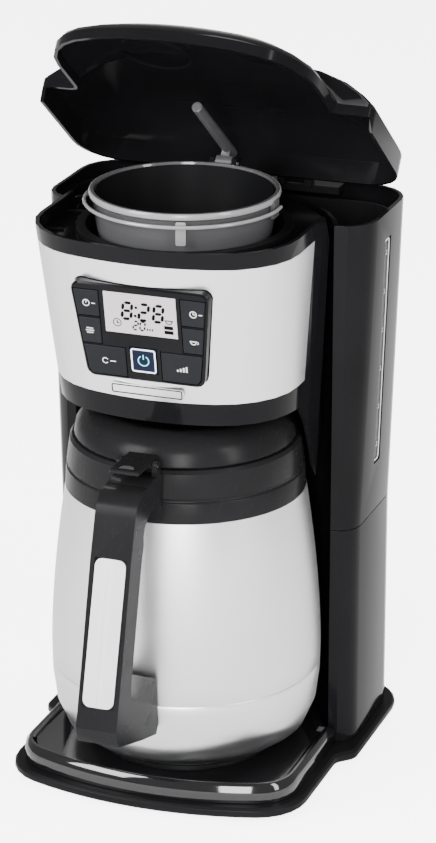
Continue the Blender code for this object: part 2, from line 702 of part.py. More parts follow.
def band_section(outline_height, distance):
    """The front stretch of the head's outline that the steel band follows."""
    outline = head_outline(outline_height, distance)
    last = BOW_POINTS + CORNER_POINTS - 2
    return [outline[i] for i in range(-last, last + 1)]


def band_solid(grow):
    """The band, or with grow above 0 the recess that it lies in."""
    low, high = BAND_BOTTOM - grow, BAND_TOP + grow
    outer = -grow * 4 if grow else 0.0
    loops = []
    for height, distance in ((low, outer), (high, outer), (high, BAND_THICKNESS + grow),
                             (low, BAND_THICKNESS + grow)):
        section = band_section(height, distance)
        first, last = section[0], section[-1]
        rear = BAND_REAR + grow
        loop = [(first[0], rear), *section, (last[0], rear)]
        loops.append(at(loop, height))
    bm = bmesh.new()
    made = [[bm.verts.new(point) for point in loop] for loop in loops]
    for low_loop, high_loop in zip(made, made[1:] + made[:1]):
        for a, b, c, d in zip(low_loop, low_loop[1:], high_loop[1:], high_loop):
            bm.faces.new((a, b, c, d))
    bm.faces.new([loop[0] for loop in made])
    bm.faces.new([loop[-1] for loop in made][::-1])
    return bm


def panel_outline(grow=0.0):
    """The control panel's front: rounded, narrower at the bottom, in its own plane."""
    top, bottom, half = PANEL_TOP + grow, PANEL_BOTTOM - grow, PANEL_HALF_WIDTH + grow
    low_half = half - PANEL_NARROWING
    corner = PANEL_CORNER
    points = arc(low_half - corner, bottom + corner, corner, -math.pi / 2, -0.08, 4)
    points += arc(half - corner, top - corner, corner, 0.08, math.pi / 2, 4)
    points = [(0, bottom), *points, (0, top)]
    return mirrored(points)


def panel_mount(root):
    """An empty on the head's leaning front: X across, Y into the machine, Z up the face."""
    share = (PANEL_HEIGHT - HEAD_BOTTOM) / (HEAD_TOP - HEAD_BOTTOM)
    front = blend(HEAD_FRONT_BOTTOM, HEAD_FRONT_TOP, share) - PANEL_PROUD
    return empty("panel_mount", root, (0, front, PANEL_HEIGHT), (LEAN_ANGLE, 0, 0))


def make_head(root):
    mount = panel_mount(root)
    low_inner = head_outline(HEAD_BOTTOM, HEAD_WALL)
    top_inner = head_outline(HEAD_TOP, HEAD_WALL)
    shell = rings([
        side_arch(head_outline(HEAD_BOTTOM), HEAD_BOTTOM, ARCH_DROP),
        back_lowered(head_outline(HEAD_TOP), HEAD_TOP, BACK_WALL_TOP),
        back_lowered(top_inner, HEAD_TOP, BACK_WALL_TOP),
        side_arch(low_inner, HEAD_BOTTOM, ARCH_DROP),
    ], ring_closed=True)
    shell = place("head_shell", shell, "black_gloss", root)
    change(shell, place("band_recess", band_solid(TOUCH_GAP), "black_gloss", root))
    opening = extruded(panel_outline(TOUCH_GAP), -0.006, 0.020, "XZ")
    change(shell, place("panel_opening", opening, "black_gloss", mount))
    band = place("stainless_band", band_solid(0.0), "brushed_steel", root)
    window = extruded(panel_outline(TOUCH_GAP), -0.006, 0.020, "XZ")
    change(band, place("band_window", window, "black_gloss", mount))
    make_deck(root)
    make_panel(mount)


def circle_match(outline, radius):
    """Points on a circle at the same bearings as an outline's points."""
    return [
        (radius * x / math.hypot(x, y), radius * y / math.hypot(x, y)) for x, y in outline
    ]


SEAT_RADIUS = 0.0150


def make_deck(root):
    """The recessed deck with the well that holds the funnel, and the head's underside."""
    gap = HEAD_WALL + TOUCH_GAP
    low = DECK_TOP - DECK_THICKNESS
    outline = head_outline(DECK_TOP, gap)
    under = head_outline(low, gap)
    spout = SPOUT_RADIUS + 0.0015
    floor = WELL_BOTTOM + WELL_WALL
    deck = rings([
        at(outline, DECK_TOP),
        at(circle_match(outline, WELL_TOP_RADIUS), DECK_TOP),
        at(circle_match(outline, WELL_FOOT_RADIUS), floor),
        at(circle_match(outline, spout), floor),
        at(circle_match(outline, spout), WELL_BOTTOM),
        at(circle_match(outline, WELL_FOOT_RADIUS + WELL_WALL), WELL_BOTTOM),
        at(circle_match(outline, WELL_TOP_RADIUS + WELL_WALL), low),
        at(under, low),
    ], ring_closed=True)
    place("deck", deck, "black_gloss", root)
    cover_low = HEAD_BOTTOM + 0.0010
    cover_high = cover_low + 0.0022
    cover = rings([
        at(head_outline(cover_low, gap), cover_low),
        at(head_outline(cover_high, gap), cover_high),
        at(circle_match(head_outline(cover_high, gap), SEAT_RADIUS + 0.0010), cover_high),
        at(circle_match(head_outline(cover_low, gap), SEAT_RADIUS + 0.0010), cover_low),
    ], ring_closed=True)
    place("head_bottom_cover", cover, "black_satin", root)


# --- control panel -----------------------------------------------------------------------------


def panel_half(level):
    """Half the panel's width at a level in its own plane."""
    low, high = PANEL_BOTTOM + PANEL_CORNER, PANEL_TOP - PANEL_CORNER
    return PANEL_HALF_WIDTH - PANEL_NARROWING * (high - level) / (high - low)


def key_layout():
    """Each small key's name and outline, as (x, z) corners in the panel's plane."""
    edge = PANEL_WALL + RUN_GAP + TOUCH_GAP
    inner = LCD_HALF_WIDTH + 0.0030
    near = KEY_SIZE / 2 + 0.0030
    top, upper_low = PANEL_TOP - KEY_TOP_INSET, LCD_CENTRE - 0.0037
    middle_top, middle_low = upper_low - KEY_SPACING, LCD_CENTRE - LCD_HALF_HEIGHT - 0.0083
    lower_top, bottom = middle_low - KEY_SPACING, PANEL_BOTTOM + 0.0022
    right = {
        "upper": [(inner, upper_low), (panel_half(upper_low) - edge, upper_low),
                  (panel_half(top) - edge, top), (inner, top)],
        "middle": [(inner, middle_low), (panel_half(middle_low) - edge, middle_low),
                   (panel_half(middle_top) - edge, middle_top), (inner, middle_top)],
        "lower": [(near, bottom), (panel_half(bottom) - edge - 0.0022, bottom),
                  (panel_half(bottom + 0.0030) - edge - 0.0004, bottom + 0.0030),
                  (panel_half(lower_top) - edge, lower_top), (near, lower_top)],
    }
    layout = {}
    for level, corners in right.items():
        layout[f"key_right_{level}"] = corners
        layout[f"key_left_{level}"] = [(-x, z) for x, z in corners[::-1]]
    return layout


POWER_CENTRE = PANEL_BOTTOM + 0.0140
KEY_FRONT = -0.0005
KEY_BACK = 0.0060
BOARD_FRONT = 0.0075


def make_panel(mount):
    outline = panel_outline()
    loops = []
    for depth, distance in ((PANEL_DEPTH, 0.0), (0.0010, 0.0), (0.0, 0.0010)):
        loops.append([(x, depth, z) for x, z in inset(outline, distance)])
    inner = inset(outline, PANEL_WALL)
    loops.insert(0, [(x, PANEL_DEPTH, z) for x, z in inner])
    loops.insert(0, [(x, PANEL_FACE, z) for x, z in inner])
    panel = place("control_panel", rings(loops), "black_gloss", mount, smooth=False)
    lcd = block(-LCD_HALF_WIDTH - TOUCH_GAP, LCD_HALF_WIDTH + TOUCH_GAP, -0.002, 0.006,
                LCD_CENTRE - LCD_HALF_HEIGHT - TOUCH_GAP, LCD_CENTRE + LCD_HALF_HEIGHT + TOUCH_GAP)
    change(panel, place("lcd_opening", lcd, "black_gloss", mount))
    lens = block(-LCD_HALF_WIDTH, LCD_HALF_WIDTH, 0.0003, 0.0018, LCD_CENTRE - LCD_HALF_HEIGHT,
                 LCD_CENTRE + LCD_HALF_HEIGHT)
    place("lcd_window", lens, "lcd_glass", mount, smooth=False)
    module = block(-LCD_HALF_WIDTH - 0.001, LCD_HALF_WIDTH + 0.001, 0.0026, 0.0060,
                   LCD_CENTRE - LCD_HALF_HEIGHT + 0.0004, LCD_CENTRE + LCD_HALF_HEIGHT + 0.001)
    place("lcd_module", module, "lcd_glass", mount, smooth=False)
    board_half = PANEL_HALF_WIDTH - 0.0090
    board = block(-board_half, board_half, BOARD_FRONT, BOARD_FRONT + 0.0013,
                  PANEL_BOTTOM + 0.004, PANEL_TOP - 0.004)
    place("control_board", board, "circuit_green", mount, smooth=False)
    for name, corners in key_layout().items():
        make_key(mount, panel, name, corners)
    half = KEY_SIZE / 2
    square = [(-half, POWER_CENTRE - half), (half, POWER_CENTRE - half),
              (half, POWER_CENTRE + half), (-half, POWER_CENTRE + half)]
    make_key(mount, panel, "key_power", square)
    badge_z = PANEL_BOTTOM - BADGE_DROP
    badge = extruded(mirrored([(0, badge_z - 0.0031), (0.0215, badge_z - 0.0031),
                               (0.0225, badge_z - 0.0021), (0.0225, badge_z + 0.0021),
                               (0.0215, badge_z + 0.0031), (0, badge_z + 0.0031)]),
                     PANEL_PROUD - TOUCH_GAP - BADGE_DEPTH, PANEL_PROUD - TOUCH_GAP, "XZ")
    place("badge_plate", badge, "bright_steel", mount, smooth=False)


def make_key(mount, panel, name, corners):
    """A key and the hole that it slides in. The key's origin is at its own middle."""
    cx = sum(x for x, _ in corners) / len(corners)
    cz = sum(z for _, z in corners) / len(corners)
    local = [(x - cx, z - cz) for x, z in corners]
    hole = extruded(inset(local, -RUN_GAP), -0.004, 0.006, "XZ")
    change(panel, place(f"{name}_hole", hole, "key_black", mount, (cx, 0, cz)))
    loops = [[(x, depth, z) for x, z in inset(local, distance)]
             for depth, distance in ((KEY_BACK, 0.0), (KEY_FRONT + 0.0004, 0.0),
                                     (KEY_FRONT, 0.0004))]
    place(name, rings(loops), "key_black", mount, (cx, 0, cz), smooth=False)


# --- filter basket and drip stop ---------------------------------------------------------------


def make_basket(root):
    top, foot = WELL_TOP_RADIUS - 0.0012, WELL_FOOT_RADIUS - 0.0010
    floor = WELL_BOTTOM + WELL_WALL + TOUCH_GAP
    spout_low = HEAD_BOTTOM + 0.0120
    funnel = turned([
        (top, DECK_TOP + TOUCH_GAP), (FUNNEL_FLANGE, DECK_TOP + TOUCH_GAP),
        (FUNNEL_FLANGE, FUNNEL_TOP), (top - FUNNEL_WALL, FUNNEL_TOP),
        (foot - FUNNEL_WALL, floor + 0.0045), (SPOUT_RADIUS - 0.0013, floor + 0.0018),
        (SPOUT_RADIUS - 0.0013, spout_low), (SPOUT_RADIUS, spout_low), (SPOUT_RADIUS, floor),
        (foot, floor),
    ], 40)
    place("brew_funnel", funnel, "black_satin", root)
    lift = empty("basket_lift", root, (0, 0, BASKET_TOP))
    r = BASKET_RADIUS
    foot = BASKET_RADIUS - 0.0145
    basket = turned([
        (0, -BASKET_DEPTH), (foot, -BASKET_DEPTH), (r - 0.0032, -0.0220), (r - 0.0010, -0.0050),
        (r, -0.0040), (r, 0.0), (r - BASKET_WALL, 0.0), (r - BASKET_WALL - 0.0010, -0.0050),
        (r - 0.0032 - BASKET_WALL, -0.0220), (foot - BASKET_WALL, BASKET_WALL - BASKET_DEPTH),
        (0, BASKET_WALL - BASKET_DEPTH),
    ], 48)
    basket = place("filter_basket", basket, "smoke_plastic", lift)
    for side, x in (("left", -1), ("right", 1)):
        near, far = sorted((x * (r - 0.0008), x * (r + EAR_REACH)))
        ear = block(near, far, -0.0045, 0.0045, -BAIL_DROP - 0.0055, -0.0015)
        change(basket, place(f"ear_{side}", ear, "smoke_plastic", lift), "UNION")
    make_bail(lift)
    make_drip_stop(root)


EAR_REACH = 0.0016


def make_bail(lift):
    """The basket's wire handle, folded down along the front of the rim."""
    hinge = empty("bail_hinge", lift, (0, 0, -BAIL_DROP))
    side = BASKET_RADIUS + EAR_REACH + BAIL_WIRE + RUN_GAP
    bow = [(x, y, 0) for x, y in arc(0, 0, BAIL_RADIUS, math.radians(-8), math.radians(-172), 25)]
    path = [(side, 0.0030, 0), *bow, (-side, 0.0030, 0)]
    place("basket_handle", tube(path, BAIL_WIRE, 8), "smoke_plastic", hinge)


def make_drip_stop(root):
    """Spring plunger in the head's underside that shuts the funnel's spout."""
    slide = empty("drip_slide", root, (0, 0, HEAD_BOTTOM - 0.0060))
    low = HEAD_BOTTOM - 0.0040
    bore, wire = SEAT_RADIUS - 0.0072, 0.0006
    plunger = turned([
        (0, 0.0003), (0.0035, 0.0), (0.0052, 0.0008), (0.0052, 0.0130), (0, 0.0135),
    ], 20)
    place("drip_stop_plunger", plunger, "grey_plastic", slide)
    seat = turned([
        (bore, low), (SEAT_RADIUS - 0.0020, low), (SEAT_RADIUS, low + 0.0060),
        (SEAT_RADIUS, low + 0.0130), (SEAT_RADIUS - 0.0040, low + 0.0155), (bore, low + 0.0155),
    ], 24)
    place("drip_stop_seat", seat, "black_satin", root)
    turns, count = 3.0, 40
    coil, rise = bore - 0.0012, 0.0085 / (2 * math.pi * turns)
    path = [(coil * math.cos(a), coil * math.sin(a), low + 0.0030 + rise * a) for a in
            (2 * math.pi * turns * i / count for i in range(count + 1))]
    place("drip_stop_spring", tube(path, wire, 6), "bright_steel", root)


# --- lid, hinge and spray arm ------------------------------------------------------------------


EAR_FRONT = 0.0080              # front edge of the lid's ears


def lid_outline(grow=0.0):
    """The lid shut: the head's front, then ears as wide as the housing, then the back."""
    front = bowed_front(HEAD_HALF_TOP + grow, HEAD_FRONT_TOP - grow, HEAD_BOW, HEAD_CORNER)
    side, ear = HEAD_HALF_TOP + grow, HOUSING_HALF_TOP + grow
    inner = min(0.004, (ear - side) / 3)
    outer = min(0.006, (ear - side) / 2)
    points = front + [(side, EAR_FRONT - inner)]
    points += arc(side + inner, EAR_FRONT - inner, inner, math.pi, math.pi / 2, 3)[1:]
    points += arc(ear - outer, EAR_FRONT + outer, outer, -math.pi / 2, 0, 4)
    corner = HOUSING_CORNER
    points += arc(ear - corner, LID_REAR - corner, corner, 0, math.pi / 2, 7)
    return mirrored(points + [(0, LID_REAR)])


def lid_level(y):
    """The height of the lid's lower edge: it steps down behind the head."""
    return LID_FRONT_RIM if y < EAR_FRONT + 0.0045 else LID_REAR_RIM


def dome_loop(outline, share, top, base):
    """A loop of the lid's dome, at a share of the way from its middle to its edge."""
    out = []
    for x, y in outline:
        back = min(1.0, max(0.0, (y + 0.020) / 0.070))
        power = blend(2.6, 6.5, back)
        height = base + (top - base) * (1 - share**power)
        out.append((x * share, LID_CENTRE_Y + (y - LID_CENTRE_Y) * share, height))
    return out


def make_lid(root):
    turn = (math.radians(-LID_OPEN_ANGLE), 0, 0)
    hinge = empty("lid_hinge", root, (0, HINGE_Y, HINGE_Z), turn)
    shares = (0.93, 0.82, 0.66, 0.46, 0.22)
    outline = lid_outline(0.0004)
    inner = inset(outline, LID_WALL)
    shoulder = LID_FRONT_RIM + LID_SKIRT
    lower = [(x, y, lid_level(y)) for x, y in outline]
    inner_lower = [(x, y, lid_level(y)) for x, y in inner]
    loops = [dome_loop(inner, s, LID_DOME_TOP - LID_WALL, shoulder - LID_WALL * 0.5)
             for s in shares[::-1]]
    loops.append(at(inner, shoulder - LID_WALL * 0.8))
    loops.append(inner_lower)
    loops.append(lower)
    loops.append(at(outline, shoulder - 0.0020))
    loops.append(at(inset(outline, 0.0020), shoulder + 0.0008))
    edge = inset(outline, 0.0020)
    loops += [dome_loop(edge, s, LID_DOME_TOP, shoulder + 0.0008) for s in shares]
    shift = Matrix.Translation((0, -HINGE_Y, -HINGE_Z))
    bm = rings(loops)
    bmesh.ops.transform(bm, matrix=shift, verts=bm.verts)
    lid = place("lid", bm, "black_gloss", hinge)
    for side, x in (("left", -HINGE_X), ("right", HINGE_X)):
        knuckle = lid_knuckle(x)
        change(lid, place(f"lid_knuckle_{side}", knuckle, "black_gloss", hinge), "UNION")
        bore = cylinder(PIN_RADIUS + PIN_CLEARANCE, x - 0.02, x + 0.02, "X", (0, 0), 16)
        change(lid, place(f"lid_bore_{side}", bore, "black_gloss", hinge))
    make_hinge(root)
    make_spray_arm(root)


KNUCKLE_HALF = 0.0060
KNUCKLE_RADIUS = 0.0036
BRACKET_EAR = 0.0045


def lid_knuckle(x):
    """A round knuckle with a web that runs forward into the lid's back wall."""
    reach = LID_REAR - HINGE_Y - LID_WALL * 0.5
    outline = arc(0, 0, KNUCKLE_RADIUS, -math.pi / 2, math.pi / 2, 9)
    outline += [(reach, KNUCKLE_RADIUS), (reach, -0.0020), (-0.0030, -0.0020)]
    return extruded(outline, x - KNUCKLE_HALF, x + KNUCKLE_HALF, "YZ")


def make_hinge(root):
    """The fixed half of the hinge: a bridge along the housing's back with four ears."""
    low, high = HOUSING_TOP - 0.0050, HOUSING_TOP - 0.0004
    front = HOUSING_REAR - HOUSING_WALL - REAR_CHANNEL + 0.0008
    rear = HOUSING_REAR - HOUSING_WALL - TOUCH_GAP
    half = HOUSING_HALF_TOP - BRACKET_INSET
    bracket = place("hinge_bracket", block(-half, half, front, rear, low, high), "black_satin",
                    root, smooth=False)
    inner = KNUCKLE_HALF + 0.0004
    for side, x in (("left", -HINGE_X), ("right", HINGE_X)):
        for end, (a, b) in (("inner", (-inner - BRACKET_EAR, -inner)),
                            ("outer", (inner, inner + BRACKET_EAR))):
            outline = arc(HINGE_Y, HINGE_Z, KNUCKLE_RADIUS, 0, math.pi, 9)
            outline += [(HINGE_Y - KNUCKLE_RADIUS, high - 0.001),
                        (HINGE_Y + KNUCKLE_RADIUS, high - 0.001)]
            ear = extruded(outline, x + a, x + b, "YZ")
            change(bracket, place(f"bracket_ear_{side}_{end}", ear, "black_satin", root), "UNION")
        bore = cylinder(PIN_RADIUS + PIN_CLEARANCE, x - 0.02, x + 0.02, "X", (HINGE_Y, HINGE_Z), 16)
        change(bracket, place(f"bracket_bore_{side}", bore, "black_satin", root))
        reach = inner + BRACKET_EAR + 0.0006
        pin = cylinder(PIN_RADIUS, x - reach, x + reach, "X", (HINGE_Y, HINGE_Z), 16)
        place(f"hinge_pin_{side}", pin, "bright_steel", root)


FORK_HALF = 0.0085
FORK_INNER = 0.0055


def make_spray_arm(root):
    """The arm that swings over the basket, in a fork that stands on the deck."""
    low = DECK_TOP + TOUCH_GAP
    high = ARM_PIVOT_Z + 0.0034
    floor = ARM_PIVOT_Z - 0.0070
    fork = extruded([(-FORK_HALF, low), (FORK_HALF, low), (FORK_HALF, high), (FORK_INNER, high),
                     (FORK_INNER, floor), (-FORK_INNER, floor), (-FORK_INNER, high),
                     (-FORK_HALF, high)], ARM_PIVOT_Y - FORK_HALF_DEPTH, ARM_PIVOT_Y + FORK_HALF_DEPTH,
                    "XZ")
    fork = place("spray_arm_fork", fork, "black_satin", root, smooth=False)
    bore = cylinder(PIN_RADIUS + PIN_CLEARANCE, -0.02, 0.02, "X", (ARM_PIVOT_Y, ARM_PIVOT_Z), 12)
    change(fork, place("fork_bore", bore, "black_satin", root))
    pin = cylinder(PIN_RADIUS, -FORK_HALF - 0.0004, FORK_HALF + 0.0004, "X",
                   (ARM_PIVOT_Y, ARM_PIVOT_Z), 12)
    place("spray_arm_pin", pin, "bright_steel", root)
    turn = (math.radians(-ARM_OPEN_ANGLE), 0, 0)
    pivot = empty("spray_arm_pivot", root, (0, ARM_PIVOT_Y, ARM_PIVOT_Z), turn)
    rise = ARM_LEVEL - ARM_PIVOT_Z
    arm = place("spray_arm", tube([(0, 0.0075, rise), (0, -0.010, rise), (0, -0.030, rise),
                                   (0, -0.050, rise), (0, -ARM_REACH + 0.0004, rise),
                                   (0, -ARM_REACH, rise)],
                                  arm_radius, 14), "grey_plastic", pivot)
    barrel = cylinder(0.0042, -FORK_INNER + 0.0004, FORK_INNER - 0.0004, "X", (0, 0), 16)
    change(arm, place("arm_barrel", barrel, "grey_plastic", pivot), "UNION")
    web = block(-0.0026, 0.0026, -0.0030, 0.0030, 0.0, rise)
    change(arm, place("arm_web", web, "grey_plastic", pivot), "UNION")
    arm_bore = cylinder(PIN_RADIUS + PIN_CLEARANCE, -0.02, 0.02, "X", (0, 0), 12)
    change(arm, place("arm_bore", arm_bore, "grey_plastic", pivot))


def arm_radius(share):
    """The arm tapers from its root to its round tip."""
    if share > 0.99:
        return ARM_TIP_RADIUS * 0.8
    return blend(ARM_ROOT_RADIUS, ARM_TIP_RADIUS, share)


# --- carafe ------------------------------------------------------------------------------------


def steel_profile():
    """Radii and heights of the carafe's outer wall, foot to shoulder."""
    r, foot = CARAFE_RADIUS, CARAFE_FOOT
    lower = [(r - 0.030, foot), (r - 0.0185, foot + 0.0012), (r - 0.0085, foot + 0.0085),
             (r - 0.0025, foot + 0.0225), (r - 0.0003, foot + 0.0400), (r, foot + 0.0560)]
    shoulder = CARAFE_COLLAR_HEIGHT - TOUCH_GAP
    upper = []
    start = foot + 0.0560
    for i in range(1, 7):
        share = i / 6
        upper.append((blend(r, CARAFE_COLLAR_RADIUS, share**1.7), blend(start, shoulder, share)))
    return lower + upper


def make_carafe(root):
    """The carafe: double-walled steel flask, collar, lid, lever and handle."""
    slide = empty("carafe_slide", root, (0, 0, 0))
    outer = steel_profile()
    inside = [(r - CARAFE_WALL, z) for r, z in outer[::-1]][:-2]
    inside += [(outer[1][0] - 0.001, outer[1][1] + CARAFE_WALL), (0, CARAFE_FOOT + CARAFE_WALL)]
    place("carafe_outer_shell", turned([(0, CARAFE_FOOT), *outer, *inside], 48), "brushed_steel",
          slide)
    neck, body = NECK_RADIUS, CARAFE_RADIUS - VACUUM_GAP
    low, shoulder = CARAFE_FOOT + 0.0080, CARAFE_COLLAR_HEIGHT
    flask = [(0, low), (body - 0.0205, low), (body - 0.0035, low + 0.018), (body, low + 0.054),
             (body - 0.0010, low + 0.084), (body - 0.0065, shoulder - 0.0295),
             (body - 0.0135, shoulder - 0.0095), (neck, shoulder - 0.0020),
             (neck, shoulder + 0.0125)]
    flask_in = [(max(0.0, r - CARAFE_WALL), z + (CARAFE_WALL if z < 0.04 else 0.0))
                for r, z in flask[::-1]]
    place("carafe_inner_flask", turned(flask + flask_in, 40), "brushed_steel", slide)
    rc, zc, top = CARAFE_COLLAR_RADIUS, CARAFE_COLLAR_HEIGHT, CARAFE_COLLAR_TOP
    collar = turned([
        (neck + TOUCH_GAP, zc), (neck + 0.0030, zc), (neck + 0.0030, zc + 0.0105),
        (rc - 0.0032, zc + 0.0105), (rc - 0.0028, zc), (rc, zc), (rc - 0.0006, zc + 0.0120),
        (rc - 0.0016, zc + 0.0130), (rc - 0.0016, zc + 0.0142), (rc - 0.0010, zc + 0.0150),
        (rc - 0.0029, top - 0.0020), (rc - 0.0044, top), (neck + 0.0018, top),
        (neck + 0.0018, zc + 0.0137), (neck + TOUCH_GAP, zc + 0.0137),
    ], 48)
    place("carafe_collar", collar, "black_satin", slide)
    gasket = turned([(neck - 0.0015, zc + 0.0140), (neck + 0.0014, zc + 0.0140),
                     (neck + 0.0014, zc + 0.0165), (neck - 0.0015, zc + 0.0165)], 32)
    place("carafe_lid_gasket", gasket, "silicone", slide)
    make_carafe_lid(slide)
    make_handle(slide)


def make_carafe_lid(slide):
    lid_turn = empty("carafe_lid_turn", slide, (0, 0, 0))
    plug = NECK_RADIUS + 0.0012
    foot = CARAFE_COLLAR_HEIGHT + 0.0175
    rim, top, rc = CARAFE_COLLAR_TOP + TOUCH_GAP, CARAFE_LID_TOP, CARAFE_COLLAR_RADIUS
    lid = turned([
        (0, top - 0.0080), (plug - 0.0202, top - 0.0065), (plug - 0.0072, top - 0.0035),
        (plug - 0.0032, top - 0.0120), (plug - 0.0032, foot), (plug - 0.0006, foot),
        (plug, foot + 0.0012), (plug, rim), (rc - 0.0064, rim), (rc - 0.0056, rim + 0.0010),
        (rc - 0.0069, top - 0.0100), (rc - 0.0114, top - 0.0035), (rc - 0.0184, top),
        (rc - 0.0244, top), (rc - 0.0344, top - 0.0035), (0.0060, top - 0.0050),
        (0, top - 0.0050),
    ], 48)
    place("carafe_lid", lid, "black_satin", lid_turn)


LEVER_Y = -CARAFE_COLLAR_RADIUS - 0.0056
LEVER_Z = HANDLE_TOP - 0.0035


def handle_outline():
    """The handle's side view as (y, z) points: top arch, leaning grip, foot on the body."""
    side, collar = -CARAFE_RADIUS, -CARAFE_COLLAR_RADIUS
    reach, top, foot = HANDLE_REACH, HANDLE_TOP, HANDLE_FOOT
    outer = [(collar + 0.0002, top - 0.0100), (collar - 0.0136, top - 0.0085),
             (collar - 0.0236, top - 0.0100)]
    outer += arc(side - 0.0165, top - 0.0270, 0.0170, math.radians(80), math.radians(165), 6)
    outer += [(side - 0.0410, top - 0.0480), (side - reach + 0.0110, foot + 0.0685),
              (side - reach, foot + 0.0285), (side - reach + 0.0030, foot + 0.0190),
              (side - reach + 0.0120, foot + 0.0155), (side - 0.0260, foot + 0.0065),
              (side - 0.0025, foot), (side + 0.0005, foot + 0.0045)]
    inner = [(side - 0.0018, foot + 0.0325), (side - 0.0040, foot + 0.0370),
             (side - 0.0280, foot + 0.0345), (side - reach + 0.0240, foot + 0.0405),
             (side - reach + 0.0235, foot + 0.0465), (side - reach + 0.0300, foot + 0.0705),
             (side - 0.0230, top - 0.0500)]
    inner += arc(side - 0.0085, top - 0.0400, 0.0120, math.radians(195), math.radians(95), 5)
    inner += [(collar - 0.0036, top - 0.0275), (collar - 0.0011, top - 0.0300),
              (collar - 0.0011, top - 0.0380)]
    return outer + inner


def make_handle(slide):
    outline = handle_outline()
    half = HANDLE_HALF_WIDTH
    handle = place("carafe_handle", extruded(outline, -half, half, "YZ"), "black_satin", slide,
                   smooth=False)
    body = turned([(0, 0.0), *[(r + TOUCH_GAP, z) for r, z in steel_profile()],
                   (CARAFE_COLLAR_RADIUS + TOUCH_GAP, CARAFE_COLLAR_HEIGHT),
                   (CARAFE_COLLAR_RADIUS + TOUCH_GAP, CARAFE_COLLAR_TOP - 0.0160),
                   (CARAFE_COLLAR_RADIUS - 0.0024, CARAFE_COLLAR_TOP + 0.0060),
                   (0, CARAFE_COLLAR_TOP + 0.0060)], 48)
    change(handle, place("body_clearance", body, "black_satin", slide))
    side = -CARAFE_RADIUS
    top = (side - 0.0410 + 0.0015, HANDLE_TOP - 0.0480 + 0.0020)
    low = (side - HANDLE_REACH + 0.0028, HANDLE_FOOT + 0.0415)
    along = (Vector(low) - Vector(top)).normalized()
    out = Vector((along.y, -along.x)).normalized()
    if out.x > 0:
        out.negate()
    make_inlay(slide, handle, Vector(top), Vector(low), out)
    make_lever(slide, handle)


INLAY_DEPTH = 0.0012
INLAY_HALF = 0.0095


def make_inlay(slide, handle, top, low, out):
    """A steel strip let into the outside of the grip, and its groove."""
    def strip(back, front, grow):
        loops = []
        for depth in (back, front):
            a = top + out * depth - (low - top).normalized() * grow
            b = low + out * depth + (low - top).normalized() * grow
            wide = INLAY_HALF + grow
            loops.append([(-wide, a.x, a.y), (wide, a.x, a.y), (wide, b.x, b.y), (-wide, b.x, b.y)])
        return rings(loops)
    change(handle, place("inlay_groove", strip(-INLAY_DEPTH, 0.010, TOUCH_GAP), "black_satin",
                         slide))
    place("handle_inlay", strip(-INLAY_DEPTH + TOUCH_GAP, 0.0005, 0.0), "brushed_steel", slide,
          smooth=False)


def make_lever(slide, handle):
    """The thumb lever over the handle's top, on a pin between two cheeks of the handle."""
    cheek = 0.0030
    half = HANDLE_HALF_WIDTH
    for side, x in (("left", -half), ("right", half - cheek)):
        outline = arc(LEVER_Y, LEVER_Z, 0.0034, 0, math.pi, 7)
        outline += [(LEVER_Y - 0.0034, HANDLE_TOP - 0.0110), (LEVER_Y + 0.0034,
                                                            HANDLE_TOP - 0.0110)]
        ear = extruded(outline, x, x + cheek, "YZ")
        change(handle, place(f"handle_cheek_{side}", ear, "black_satin", slide), "UNION")
    bore = cylinder(LEVER_PIN_RADIUS + PIN_CLEARANCE, -0.03, 0.03, "X", (LEVER_Y, LEVER_Z), 12)
    change(handle, place("lever_bore", bore, "black_satin", slide))
    pin = cylinder(LEVER_PIN_RADIUS, -half - 0.0002, half + 0.0002, "X", (LEVER_Y, LEVER_Z), 12)
    place("lever_pin", pin, "bright_steel", slide)
    pivot = empty("lever_pivot", slide, (0, LEVER_Y, LEVER_Z))
    wide = half - cheek - 0.0004
    lever = place("thumb_lever", block(-wide, wide, -0.0230, 0.0085, 0.0012, 0.0038, 0.0006),
                  "black_satin", pivot, smooth=False)
    barrel = cylinder(0.0029, -wide, wide, "X", (0, 0), 14)
    change(lever, place("lever_barrel", barrel, "black_satin", pivot), "UNION")
    lever_bore = cylinder(LEVER_PIN_RADIUS + PIN_CLEARANCE, -0.03, 0.03, "X", (0, 0), 12)
    change(lever, place("lever_bore_inner", lever_bore, "black_satin", pivot))


def build():
    """Clear the scene and make every piece."""
    for obj in list(bpy.data.objects):
        bpy.data.objects.remove(obj, do_unlink=True)
    root = empty("coffee_maker", None, (0, AXIS_Y, 0))
    make_base(root)
    make_tray(root)
    make_housing(root)
    make_water_path(root)
    make_head(root)
    make_basket(root)
    make_lid(root)
    make_carafe(root)
    bpy.context.view_layer.update()


build()
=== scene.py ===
"""Looks of a drip coffee maker with a thermal carafe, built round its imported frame."""

import json
import logging
import math
from dataclasses import dataclass
from enum import Enum
from typing import Any, Union

import bmesh
import bpy
from mathutils import Matrix, Vector

